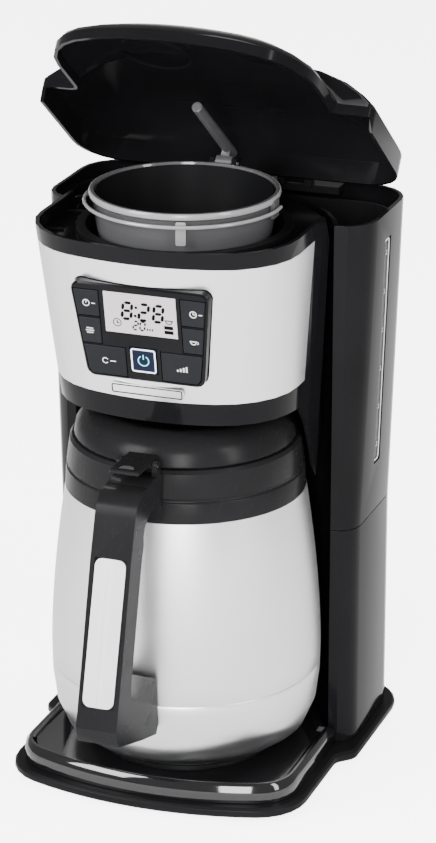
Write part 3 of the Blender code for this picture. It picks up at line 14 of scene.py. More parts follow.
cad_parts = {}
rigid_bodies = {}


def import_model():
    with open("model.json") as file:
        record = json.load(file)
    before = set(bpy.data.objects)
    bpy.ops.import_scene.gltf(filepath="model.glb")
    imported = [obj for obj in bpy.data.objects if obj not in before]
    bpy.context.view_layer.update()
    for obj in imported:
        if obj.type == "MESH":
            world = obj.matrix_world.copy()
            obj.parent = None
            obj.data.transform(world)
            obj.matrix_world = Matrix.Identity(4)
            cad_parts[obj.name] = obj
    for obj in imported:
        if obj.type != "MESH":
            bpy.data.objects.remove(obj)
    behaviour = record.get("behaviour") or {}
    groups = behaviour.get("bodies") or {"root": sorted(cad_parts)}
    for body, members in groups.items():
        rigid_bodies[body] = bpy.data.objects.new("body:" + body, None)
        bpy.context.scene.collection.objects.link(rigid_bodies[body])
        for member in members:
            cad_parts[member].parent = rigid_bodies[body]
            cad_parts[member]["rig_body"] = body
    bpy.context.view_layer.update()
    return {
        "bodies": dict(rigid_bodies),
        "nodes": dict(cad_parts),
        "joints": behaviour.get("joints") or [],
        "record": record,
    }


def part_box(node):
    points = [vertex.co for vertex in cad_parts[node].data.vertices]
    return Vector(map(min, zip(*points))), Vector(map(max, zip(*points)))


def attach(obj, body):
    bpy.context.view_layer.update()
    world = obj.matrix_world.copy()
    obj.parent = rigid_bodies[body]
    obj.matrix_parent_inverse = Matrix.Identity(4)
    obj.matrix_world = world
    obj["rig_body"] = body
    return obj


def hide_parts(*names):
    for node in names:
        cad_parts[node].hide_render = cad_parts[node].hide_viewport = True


logging.basicConfig(level=logging.INFO, format="%(message)s")
LOG = logging.getLogger("coffee_maker")

Colour = tuple[float, float, float]
Operand = Union["Signal", float, int]


# --- shader maths ------------------------------------------------------------------------------


class Signal:
    """A number or colour socket of a shader graph, with arithmetic that adds Math nodes."""

    def __init__(self, graph: "Graph", socket: bpy.types.NodeSocket) -> None:
        """Wrap a socket.

        Args:
            graph: The graph that the socket belongs to.
            socket: The output socket.
        """
        self.graph = graph
        self.socket = socket

    def _math(self, operation: str, first: Operand, second: Operand) -> "Signal":
        """Add a Math node of two operands."""
        return self.graph.node("ShaderNodeMath", {"operation": operation}, {0: first, 1: second})

    def __add__(self, other: Operand) -> "Signal":
        """Sum."""
        return self._math("ADD", self, other)

    def __radd__(self, other: Operand) -> "Signal":
        """Sum with a number on the left."""
        return self._math("ADD", other, self)

    def __sub__(self, other: Operand) -> "Signal":
        """Difference."""
        return self._math("SUBTRACT", self, other)

    def __rsub__(self, other: Operand) -> "Signal":
        """Difference with a number on the left."""
        return self._math("SUBTRACT", other, self)

    def __mul__(self, other: Operand) -> "Signal":
        """Product."""
        return self._math("MULTIPLY", self, other)

    def __rmul__(self, other: Operand) -> "Signal":
        """Product with a number on the left."""
        return self._math("MULTIPLY", other, self)


class Graph:
    """The node graph of one material, with a Principled shader at its end."""

    def __init__(self, name: str) -> None:
        """Start a material.

        Args:
            name: The material's name.
        """
        self.material = bpy.data.materials.new(name)
        self.material.use_nodes = True
        self.tree = self.material.node_tree
        self.shader = self.tree.nodes["Principled BSDF"]

    def node(
        self,
        kind: str,
        settings: dict[str, Any] | None = None,
        inputs: dict[int | str, Any] | None = None,
        output: int | str = 0,
    ) -> Signal:
        """Add a node.

        Args:
            kind: The node's type.
            settings: Properties, set first; "stops" is a ramp's list of (place, colour).
            inputs: Values or signals of its input sockets.
            output: The output that is wanted.

        Returns:
            The wanted output.
        """
        made = self.tree.nodes.new(kind)
        for key, value in (settings or {}).items():
            if key == "stops":
                self._stops(made.color_ramp, value)
            else:
                setattr(made, key, value)
        for key, value in (inputs or {}).items():
            self.feed(made.inputs[key], value)
        return Signal(self, made.outputs[output])

    def feed(self, socket: bpy.types.NodeSocket, value: Any) -> None:
        """Link a signal to a socket, or set the socket's value."""
        if isinstance(value, Signal):
            self.tree.links.new(value.socket, socket)
        else:
            socket.default_value = value

    @staticmethod
    def _stops(ramp: bpy.types.ColorRamp, stops: list[tuple[float, float]]) -> None:
        """Set a ramp's grey stops."""
        while len(ramp.elements) < len(stops):
            ramp.elements.new(0.5)
        for element, (place, grey) in zip(ramp.elements, stops):
            element.position = place
            element.color = (grey, grey, grey, 1.0)

    def place(self, scale: tuple[float, float, float] = (1, 1, 1)) -> Signal:
        """Object coordinates, stretched along the axes.

        Args:
            scale: How much finer the pattern is along X, Y and Z.

        Returns:
            The vector signal.
        """
        coordinates = self.node("ShaderNodeTexCoord", output="Object")
        return self.node("ShaderNodeMapping", inputs={"Vector": coordinates, "Scale": scale})

    def noise(self, vector: Signal, scale: float, detail: float = 3.0) -> Signal:
        """Noise between 0 and 1."""
        inputs = {"Vector": vector, "Scale": scale, "Detail": detail}
        return self.node("ShaderNodeTexNoise", inputs=inputs)

    def ramp(self, factor: Signal, stops: list[tuple[float, float]]) -> Signal:
        """A grey ramp over a signal."""
        return self.node("ShaderNodeValToRGB", {"stops": stops}, {"Fac": factor})

    def mix(self, factor: Signal, first: Colour, second: Colour) -> Signal:
        """A colour between two others."""
        settings = {"data_type": "RGBA"}
        inputs = {0: factor, 6: (*first, 1.0), 7: (*second, 1.0)}
        return self.node("ShaderNodeMix", settings, inputs, 2)

    def bump(self, height: Signal, strength: float, distance: float) -> None:
        """Drive the shader's normal with a height."""
        inputs = {"Height": height, "Strength": strength, "Distance": distance}
        self.feed(self.shader.inputs["Normal"], self.node("ShaderNodeBump", inputs=inputs))

    def drive(self, **inputs: Any) -> None:
        """Set or link the shader's sockets; an underscore stands for a space."""
        for name, value in inputs.items():
            self.feed(self.shader.inputs[name.replace("_", " ")], value)


# --- finishes ----------------------------------------------------------------------------------


class Brushing(Enum):
    """Which way the steel was brushed, as how fine the pattern is along X, Y and Z."""

    ROUND = (3.0, 3.0, 1500.0)
    ALONG = (1500.0, 8.0, 3.0)


@dataclass(frozen=True)
class Finish:
    """What every finish has: a name and the material slot of the record."""

    name: str
    slot: str

    def dress(self, graph: Graph) -> None:
        """Set up the material's graph."""
        raise NotImplementedError

    def material(self) -> bpy.types.Material:
        """The finish's material, made once."""
        made = bpy.data.materials.get(f"finish_{self.name}")
        if made is None:
            graph = Graph(f"finish_{self.name}")
            self.dress(graph)
            made = graph.material
        return made


@dataclass(frozen=True)
class Moulding(Finish):
    """Injection-moulded plastic or rubber with a fine grain and faint handling marks."""

    colour: Colour = (0.012, 0.012, 0.013)
    roughness: float = 0.2
    spread: float = 0.10
    grain: float = 0.05
    grain_scale: float = 900.0
    coat: float = 0.0
    alpha: float = 1.0
    specular: float = 0.30

    def dress(self, graph: Graph) -> None:
        """Set up the plastic's graph."""
        place = graph.place()
        cloud = graph.noise(place, 18.0, 4.0)
        grain = graph.noise(place, self.grain_scale, 2.0)
        smear = graph.noise(graph.place((30, 30, 9)), 3.0, 5.0)
        scuffs = graph.ramp(graph.noise(graph.place((260, 40, 90)), 2.0, 6.0),
                            [(0.60, 0.0), (0.72, 1.0)])
        lighter = tuple(min(1.0, c * 1.5 + 0.002) for c in self.colour)
        darker = tuple(c * 0.8 for c in self.colour)
        graph.drive(
            Base_Color=graph.mix(cloud, darker, lighter),
            Roughness=self.roughness + (smear - 0.5) * self.spread + scuffs * (self.spread * 0.4),
            Coat_Weight=self.coat,
            Coat_Roughness=0.06,
            Specular_IOR_Level=self.specular,
            Alpha=self.alpha,
        )
        graph.bump(grain, self.grain, 0.0002)


@dataclass(frozen=True)
class Steel(Finish):
    """Stainless steel with fine brushing and faint cloudy patches."""

    colour: Colour = (0.72, 0.72, 0.73)
    roughness: float = 0.30
    brushing: Brushing = Brushing.ROUND
    stretch: float = 0.0
    depth: float = 0.025

    def dress(self, graph: Graph) -> None:
        """Set up the steel's graph."""
        lines = graph.noise(graph.place(self.brushing.value), 1.0, 3.0)
        cloud = graph.noise(graph.place(), 14.0, 3.0)
        dim = tuple(c * 0.88 for c in self.colour)
        graph.drive(
            Base_Color=graph.mix(lines * 0.7 + cloud * 0.3, dim, self.colour),
            Roughness=self.roughness + (lines - 0.5) * 0.12 + (cloud - 0.5) * 0.05,
            Metallic=1.0,
            Anisotropic=self.stretch,
        )
        graph.bump(lines, self.depth, 0.0001)


@dataclass(frozen=True)
class Ink(Finish):
    """Printed or lit marks, a little uneven."""

    colour: Colour = (0.7, 0.7, 0.7)
    glow: float = 0.0
    specular: float = 0.3

    def dress(self, graph: Graph) -> None:
        """Set up the ink's graph."""
        speckle = graph.noise(graph.place(), 2200.0, 2.0)
        dim = tuple(c * 0.82 for c in self.colour)
        graph.drive(
            Base_Color=graph.mix(speckle, dim, self.colour),
            Roughness=0.5 + (speckle - 0.5) * 0.2,
            Specular_IOR_Level=self.specular,
            Emission_Strength=self.glow,
        )
        if self.glow:
            graph.drive(Emission_Color=graph.mix(speckle, dim, self.colour))


@dataclass(frozen=True)
class Display(Finish):
    """A liquid-crystal display: a pale ground with its fine cell grid behind a clear lens."""

    colour: Colour = (0.44, 0.40, 0.41)

    def dress(self, graph: Graph) -> None:
        """Set up the display's graph."""
        cloud = graph.noise(graph.place(), 40.0, 2.0)
        cells = graph.node("ShaderNodeTexChecker", inputs={"Vector": graph.place(), "Scale": 2400.0},
                           output="Fac")
        dim = tuple(c * 0.86 for c in self.colour)
        graph.drive(
            Base_Color=graph.mix(cloud * 0.8 + cells * 0.2, dim, self.colour),
            Roughness=0.16 + cloud * 0.1,
        )
        graph.bump(cells, 0.02, 0.00005)


GLOSS_BLACK = Moulding("gloss_black", "gloss_black", colour=(0.0035, 0.0035, 0.004),
                       roughness=0.10, spread=0.06, grain=0.02, specular=0.07)
TRAY_BLACK = Moulding("tray_black", "gloss_black", colour=(0.0035, 0.0035, 0.004), roughness=0.06,
                      spread=0.04, grain=0.01, coat=0.5, specular=0.4)
SATIN_BLACK = Moulding("satin_black", "satin_black", colour=(0.005, 0.005, 0.0055),
                       roughness=0.34, spread=0.14, grain=0.10, specular=0.05)
COLLAR_BLACK = Moulding("collar_black", "satin_black", colour=(0.007, 0.007, 0.0075),
                        roughness=0.26, spread=0.10, grain=0.02, specular=0.06)
KEY_BLACK = Moulding("key_black", "key_black", colour=(0.006, 0.0065, 0.008), roughness=0.30,
                     spread=0.10, grain=0.06, specular=0.08)
POWER_BLACK = Moulding("power_black", "key_black", colour=(0.004, 0.005, 0.016), roughness=0.22,
                       spread=0.08, grain=0.04, specular=0.08)
SMOKE = Moulding("smoke_plastic", "smoke_plastic", colour=(0.075, 0.075, 0.078), roughness=0.12,
                 spread=0.06, grain=0.02, alpha=0.75, specular=0.6)
LINER = Moulding("basket_liner", "smoke_plastic", colour=(0.004, 0.004, 0.0045), roughness=0.45,
                 spread=0.12, grain=0.10, specular=0.04)
SMOKE_RIM = Moulding("smoke_rim", "smoke_plastic", colour=(0.22, 0.22, 0.225), roughness=0.14,
                     spread=0.06, grain=0.02, alpha=0.85, specular=0.5)
CLEAR = Moulding("clear_plastic", "clear_plastic", colour=(0.006, 0.006, 0.007), roughness=0.10,
                 spread=0.05, grain=0.02, alpha=0.8)
GREY = Moulding("grey_plastic", "grey_plastic", colour=(0.045, 0.045, 0.047), roughness=0.34,
                spread=0.10, grain=0.08)
SILICONE = Moulding("silicone", "silicone", colour=(0.42, 0.42, 0.41), roughness=0.55,
                    spread=0.12, grain=0.15)
PAD = Moulding("rest_pad", "silicone", colour=(0.035, 0.035, 0.036), roughness=0.45, spread=0.12,
               grain=0.15)
RUBBER = Moulding("foot_rubber", "foot_rubber", colour=(0.025, 0.025, 0.025), roughness=0.75,
                  spread=0.12, grain=0.35, grain_scale=500.0)
BOARD = Moulding("circuit_green", "circuit_green", colour=(0.02, 0.12, 0.05), roughness=0.45,
                 spread=0.15, grain=0.25, grain_scale=1400.0)
BODY_STEEL = Steel("body_steel", "brushed_steel", colour=(0.70, 0.70, 0.71), roughness=0.31,
                   stretch=0.6, depth=0.010)
BAND_STEEL = Steel("band_steel", "brushed_steel", colour=(0.78, 0.78, 0.79), roughness=0.30,
                   stretch=0.5)
INLAY_STEEL = Steel("inlay_steel", "brushed_steel", colour=(0.90, 0.90, 0.91), roughness=0.38,
                    brushing=Brushing.ALONG, depth=0.01)
BRIGHT = Steel("bright_steel", "bright_steel", colour=(0.82, 0.82, 0.82), roughness=0.12,
               depth=0.01)
CAST = Steel("heater_aluminium", "heater_aluminium", colour=(0.6, 0.61, 0.62), roughness=0.42,
             depth=0.3)
LCD = Display("lcd", "lcd_glass")
LCD_INK = Ink("lcd_ink", "lcd_glass", colour=(0.002, 0.002, 0.002), specular=0.04)
KEY_INK = Ink("key_ink", "grey_plastic", colour=(0.62, 0.62, 0.63))
FRAME_INK = Ink("frame_ink", "grey_plastic", colour=(0.80, 0.82, 0.92), glow=0.4)
POWER_INK = Ink("power_ink", "grey_plastic", colour=(0.10, 0.62, 0.72), glow=0.9)
BADGE_INK = Ink("badge_ink", "satin_black", colour=(0.01, 0.01, 0.011), specular=0.05)
WINDOW_INK = Ink("window_ink", "grey_plastic", colour=(0.66, 0.67, 0.68))


# --- shapes ------------------------------------------------------------------------------------


@dataclass(frozen=True)
class Plane:
    """A flat face of the machine: its middle and its directions across, up and outwards."""

    middle: Vector
    across: Vector
    up: Vector
    out: Vector

    def matrix(self) -> Matrix:
        """Takes (across, up, out) to world coordinates."""
        rows = Matrix((self.across, self.up, self.out)).transposed().to_4x4()
        return Matrix.Translation(self.middle) @ rows

    def local(self, point: Vector) -> tuple[float, float, float]:
        """A world point as (across, up, out)."""
        away = point - self.middle
        return away.dot(self.across), away.dot(self.up), away.dot(self.out)


def centre(node: str) -> Vector:
    """The middle of a frame node's box."""
    low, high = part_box(node)
    return (low + high) / 2


def plate(bm: bmesh.types.BMesh, outline: list[tuple[float, float]], low: float,
          high: float, hollow: float = 0.0) -> None:
    """Add a flat plate, or a flat frame, to a mesh.

    Args:
        bm: The mesh.
        outline: Corners as (across, up).
        low: The plate's back.
        high: The plate's front.
        hollow: Width of the frame, or 0 for a full plate.
    """
    face = bm.faces.new([bm.verts.new((x, y, low)) for x, y in outline])
    faces = [face]
    if hollow:
        face.normal_update()
        faces = bmesh.ops.inset_region(bm, faces=[face], thickness=hollow, use_boundary=True,
                                       use_even_offset=True)["faces"]
        bmesh.ops.delete(bm, geom=[face], context="FACES_ONLY")
    raised = bmesh.ops.extrude_face_region(bm, geom=faces, use_keep_orig=True)["geom"]
    bmesh.ops.translate(bm, vec=(0, 0, high - low),
                        verts=[g for g in raised if isinstance(g, bmesh.types.BMVert)])


def rounded(half_x: float, half_y: float, corner: float, at: tuple[float, float] = (0, 0),
            steps: int = 6) -> list[tuple[float, float]]:
    """A rectangle's outline with round corners.

    Args:
        half_x: Half the width.
        half_y: Half the height.
        corner: Radius of the corners.
        at: The rectangle's middle.
        steps: Points on each corner.

    Returns:
        The corners as (across, up).
    """
    bm = bmesh.new()
    signs = ((-1, -1), (1, -1), (1, 1), (-1, 1))
    verts = [bm.verts.new((at[0] + x * half_x, at[1] + y * half_y, 0)) for x, y in signs]
    bm.faces.new(verts)
    bmesh.ops.bevel(bm, geom=verts, offset=corner, offset_type="OFFSET", segments=steps,
                    profile=0.5, affect="VERTICES", material=-1)
    bm.faces.ensure_lookup_table()
    outline = [(vert.co.x, vert.co.y) for vert in bm.faces[0].verts]
    bm.free()
    return outline


def arc_bar(bm: bmesh.types.BMesh, radius: float, width: float, low: float, high: float,
            start: float = 0.0, sweep: float = 360.0, at: tuple[float, float] = (0, 0),
            steps: int = 40) -> None:
    """Add a flat ring or part of one to a mesh.

    Args:
        bm: The mesh.
        radius: Radius of the ring's middle line.
        width: Width of the ring.
        low: The ring's back.
        high: The ring's front.
        start: Bearing of its first end in degrees.
        sweep: Angle that it covers in degrees.
        at: The ring's middle.
        steps: Parts that it is made of.
    """
    corners = [(radius - width / 2, low), (radius + width / 2, low),
               (radius + width / 2, high), (radius - width / 2, high)]
    turn = Matrix.Rotation(math.radians(start), 3, "Z")
    verts = [bm.verts.new(turn @ Vector((r, 0, z)) + Vector((*at, 0))) for r, z in corners]
    whole = sweep >= 360.0
    if whole:
        geom = [bm.edges.new((verts[i], verts[(i + 1) % 4])) for i in range(4)] + verts
    else:
        face = bm.faces.new(verts)
        geom = [face, *face.edges, *face.verts]
    bmesh.ops.spin(bm, geom=geom, cent=(*at, 0), axis=(0, 0, 1), angle=math.radians(sweep),
                   steps=steps, use_merge=whole, use_duplicate=False)


def turned(profile: list[tuple[float, float]], axis: Vector, steps: int = 128,
           closed: bool = True) -> bmesh.types.BMesh:
    """Turn a profile about an upright axis.

    Args:
        profile: (radius, height) points.
        axis: A point on the axis.
        steps: Parts of the turn.
        closed: Whether the profile runs back to its first point.

    Returns:
        The closed body.
    """
    bm = bmesh.new()
    verts = [bm.verts.new((axis.x + r, axis.y, z)) for r, z in profile]
    edges = [bm.edges.new(pair) for pair in zip(verts, verts[1:])]
    if closed:
        edges.append(bm.edges.new((verts[-1], verts[0])))
    bmesh.ops.spin(bm, geom=[*verts, *edges], cent=(axis.x, axis.y, 0), axis=(0, 0, 1),
                   angle=2 * math.pi, steps=steps, use_merge=True, use_duplicate=False)
    bmesh.ops.remove_doubles(bm, verts=bm.verts, dist=1e-6)
    bmesh.ops.dissolve_degenerate(bm, edges=bm.edges, dist=1e-7)
    bmesh.ops.recalc_face_normals(bm, faces=bm.faces)
    return bm


# --- sub-assemblies ----------------------------------------------------------------------------


@dataclass
class Assembly:
    """What each sub-assembly shares: the frame, and ways to make and dress pieces."""

    frame: dict[str, Any]
    smooth_angle: float = 35.0
    strip_depth: float = 0.0025
    merge: float = 2e-6
    flat_angle: float = 0.4

    def piece(self, name: str, bm: bmesh.types.BMesh, finish: Finish, body: str,
              replaces: tuple[str, ...] = (), edge: float = 0.0,
              matrix: Matrix | None = None) -> bpy.types.Object:
        """Make a finished piece of a mesh.

        Args:
            name: The piece's name.
            bm: Its mesh, which is used up.
            finish: Its finish.
            body: The body that it rides on.
            replaces: Frame nodes that it stands for.
            edge: Radius of its rounded edges.
            matrix: Moves the mesh to its place.

        Returns:
            The object.
        """
        if matrix is not None:
            bmesh.ops.transform(bm, matrix=matrix, verts=bm.verts)
            bmesh.ops.recalc_face_normals(bm, faces=bm.faces)
        mesh = bpy.data.meshes.new(name)
        bm.to_mesh(mesh)
        bm.free()
        mesh.shade_smooth()
        mesh.set_sharp_from_angle(angle=math.radians(self.smooth_angle))
        mesh.materials.append(finish.material())
        obj = bpy.data.objects.new(name, mesh)
        bpy.context.scene.collection.objects.link(obj)
        if edge:
            bevel = obj.modifiers.new("Rounded edges", "BEVEL")
            bevel.width = edge
            bevel.segments = 2
            bevel.limit_method = "ANGLE"
            bevel.angle_limit = math.radians(self.smooth_angle)
            bevel.harden_normals = True
        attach(obj, body)
        if replaces:
            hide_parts(*replaces)
        LOG.info("%s: %d faces, on %s", name, len(mesh.polygons), body)
        return obj

    def refine(self, node: str, finish: Finish, edge: float = 0.0003,
               corner: float = 0.0) -> bpy.types.Object:
        """Stand a merged, smooth copy with rounded edges in a frame node's place.

        Args:
            node: The frame node.
            finish: The copy's finish.
            edge: Radius of its rounded edges.
            corner: Radius of a thin strip's corners, or 0 to leave them.

        Returns:
            The copy.
        """
        source = self.frame["nodes"][node]
        bm = bmesh.new()
        bm.from_mesh(source.data)
        bmesh.ops.remove_doubles(bm, verts=bm.verts, dist=self.merge)
        bmesh.ops.dissolve_limit(bm, angle_limit=math.radians(self.flat_angle), verts=bm.verts,
                                 edges=bm.edges)
        if corner:
            short = [e for e in bm.edges if e.calc_length() < self.strip_depth]
            bmesh.ops.bevel(bm, geom=short, offset=corner, offset_type="OFFSET", segments=6,
                            profile=0.5, affect="EDGES", material=-1)
        return self.piece(f"{node}_finished", bm, finish, source["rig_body"], (node,), edge)

    def dress(self, finish: Finish, *nodes: str) -> None:
        """Give frame nodes a finish, with their shape as it is."""
        for node in nodes:
            mesh_object = self.frame["nodes"][node]
            if not mesh_object.material_slots:
                mesh_object.data.materials.append(finish.material())
            for slot in mesh_object.material_slots:
                slot.material = finish.material()
            LOG.info("%s: dressed in %s", node, finish.name)


@dataclass
class Base(Assembly):
    """The base plate, the glossy tray, the feet and the screws."""

    edge: float = 0.0006

    def build(self) -> None:
        """Make the base."""
        self.refine("base_plate", SATIN_BLACK, self.edge)
        self.refine("base_tray", TRAY_BLACK, self.edge / 2)
        self.refine("carafe_rest_pad", PAD, 0.0)
        self.dress(RUBBER, "foot_front_left", "foot_front_right", "foot_rear_left",
                   "foot_rear_right")
        self.dress(BRIGHT, "base_screw_1", "base_screw_2")


@dataclass
class Housing(Assembly):
    """The rear housing with its water window, and the water path inside."""

    lean: float = math.atan(0.0065 / 0.1920)
    trim: float = 0.0010
    marks: int = 6
    mark_inset: float = 0.010
    mark_depth: float = 0.0003
    proud: float = 0.0008
    window_corner: float = 0.0030

    def build(self) -> None:
        """Make the housing."""
        self.refine("lower_housing", GLOSS_BLACK)
        self.refine("reservoir_housing", GLOSS_BLACK)
        self.dress(SATIN_BLACK, "reservoir_tank")
        self.dress(RUBBER, "cord_gland")
        self.dress(CLEAR, "water_window")
        self.dress(GREY, "inlet_check_valve")
        self.dress(SILICONE, "riser_tube", "cold_water_hose")
        self.dress(CAST, "heater_tube")
        self.dress(BRIGHT, "thermostat")
        self.window_marks()

    def window_marks(self) -> None:
        """The window's light outline and its level marks."""
        low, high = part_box("water_window")
        lean = Vector((math.sin(self.lean), 0, math.cos(self.lean)))
        out = Vector((math.cos(self.lean), 0, -math.sin(self.lean)))
        middle = centre("water_window")
        half_y, half_z = (high.y - low.y) / 2, (high.z - low.z) / 2
        face = Plane(middle + out * self.proud, Vector((0, 1, 0)), lean, out)
        bm = bmesh.new()
        plate(bm, rounded(half_y - 0.0002, half_z - 0.0004, self.window_corner), 0.0, 0.00035,
              self.trim)
        self.piece("water_window_outline", bm, WINDOW_INK, "machine", matrix=face.matrix())
        bm = bmesh.new()
        run = half_z - self.mark_inset
        for i in range(self.marks):
            up = -run + 2 * run * i / (self.marks - 1)
            plate(bm, rounded(0.0014, 0.0003, 0.00025, (0.0, up), 3), 0.0, self.mark_depth)
            arc_bar(bm, 0.0008, 0.0004, 0.0, self.mark_depth, 200, 140, (0.0, up + 0.0024), 8)
        self.piece("water_level_marks", bm, WINDOW_INK, "machine", matrix=face.matrix())


@dataclass
class Head(Assembly):
    """The brewing head: shell, steel band, deck, underside and drip stop."""

    stops: tuple[tuple[float, float, float], ...] = ((-0.0700, -0.0300, 0.25),
                                                     (-0.0720, 0.0080, 0.05))
    stop_half: tuple[float, float] = (0.0055, 0.0011)
    stop_corner: float = 0.0010
    stop_low: float = 0.0003
    stop_high: float = 0.0012

    def build(self) -> None:
        """Make the head."""
        self.refine("head_shell", GLOSS_BLACK)
        self.refine("stainless_band", BAND_STEEL, 0.0002)
        self.refine("deck", GLOSS_BLACK)
        self.refine("head_bottom_cover", SATIN_BLACK)
        self.refine("brew_funnel", SATIN_BLACK)
        self.refine("drip_stop_plunger", GREY, 0.0002)
        self.refine("drip_stop_seat", SATIN_BLACK, 0.0002)
        self.dress(BRIGHT, "drip_stop_spring")
        self.deck_stops()

    def deck_stops(self) -> None:
        """Two small raised stops with round ends, on the left of the deck."""
        axis = centre("carafe_collar")
        _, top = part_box("deck")
        bm = bmesh.new()
        for x, y, turn in self.stops:
            part = bmesh.new()
            plate(part, rounded(*self.stop_half, self.stop_corner, steps=4), self.stop_low,
                  self.stop_high)
            place = Matrix.Translation((axis.x + x, axis.y + y, top.z)) @ Matrix.Rotation(turn, 4, "Z")
            bmesh.ops.transform(part, matrix=place, verts=part.verts)
            mesh = bpy.data.meshes.new("part")
            part.to_mesh(mesh)
            part.free()
            bm.from_mesh(mesh)
            bpy.data.meshes.remove(mesh)
        bmesh.ops.recalc_face_normals(bm, faces=bm.faces)
        self.piece("deck_stops", bm, SATIN_BLACK, "machine")


class Mark(Enum):
    """The pictogram on each small key."""

    CLOCK = "key_left_upper"
    LIST = "key_left_middle"
    LOOP = "key_left_lower"
    HAND = "key_right_upper"
    CUP = "key_right_middle"
    STEPS = "key_right_lower"


SEGMENTS = {
    "0": "abcdef", "1": "bc", "2": "abged", "3": "abgcd", "4": "fgbc", "5": "afgcd",
    "6": "afgedc", "7": "abc", "8": "abcdefg", "9": "abcdfg",
}


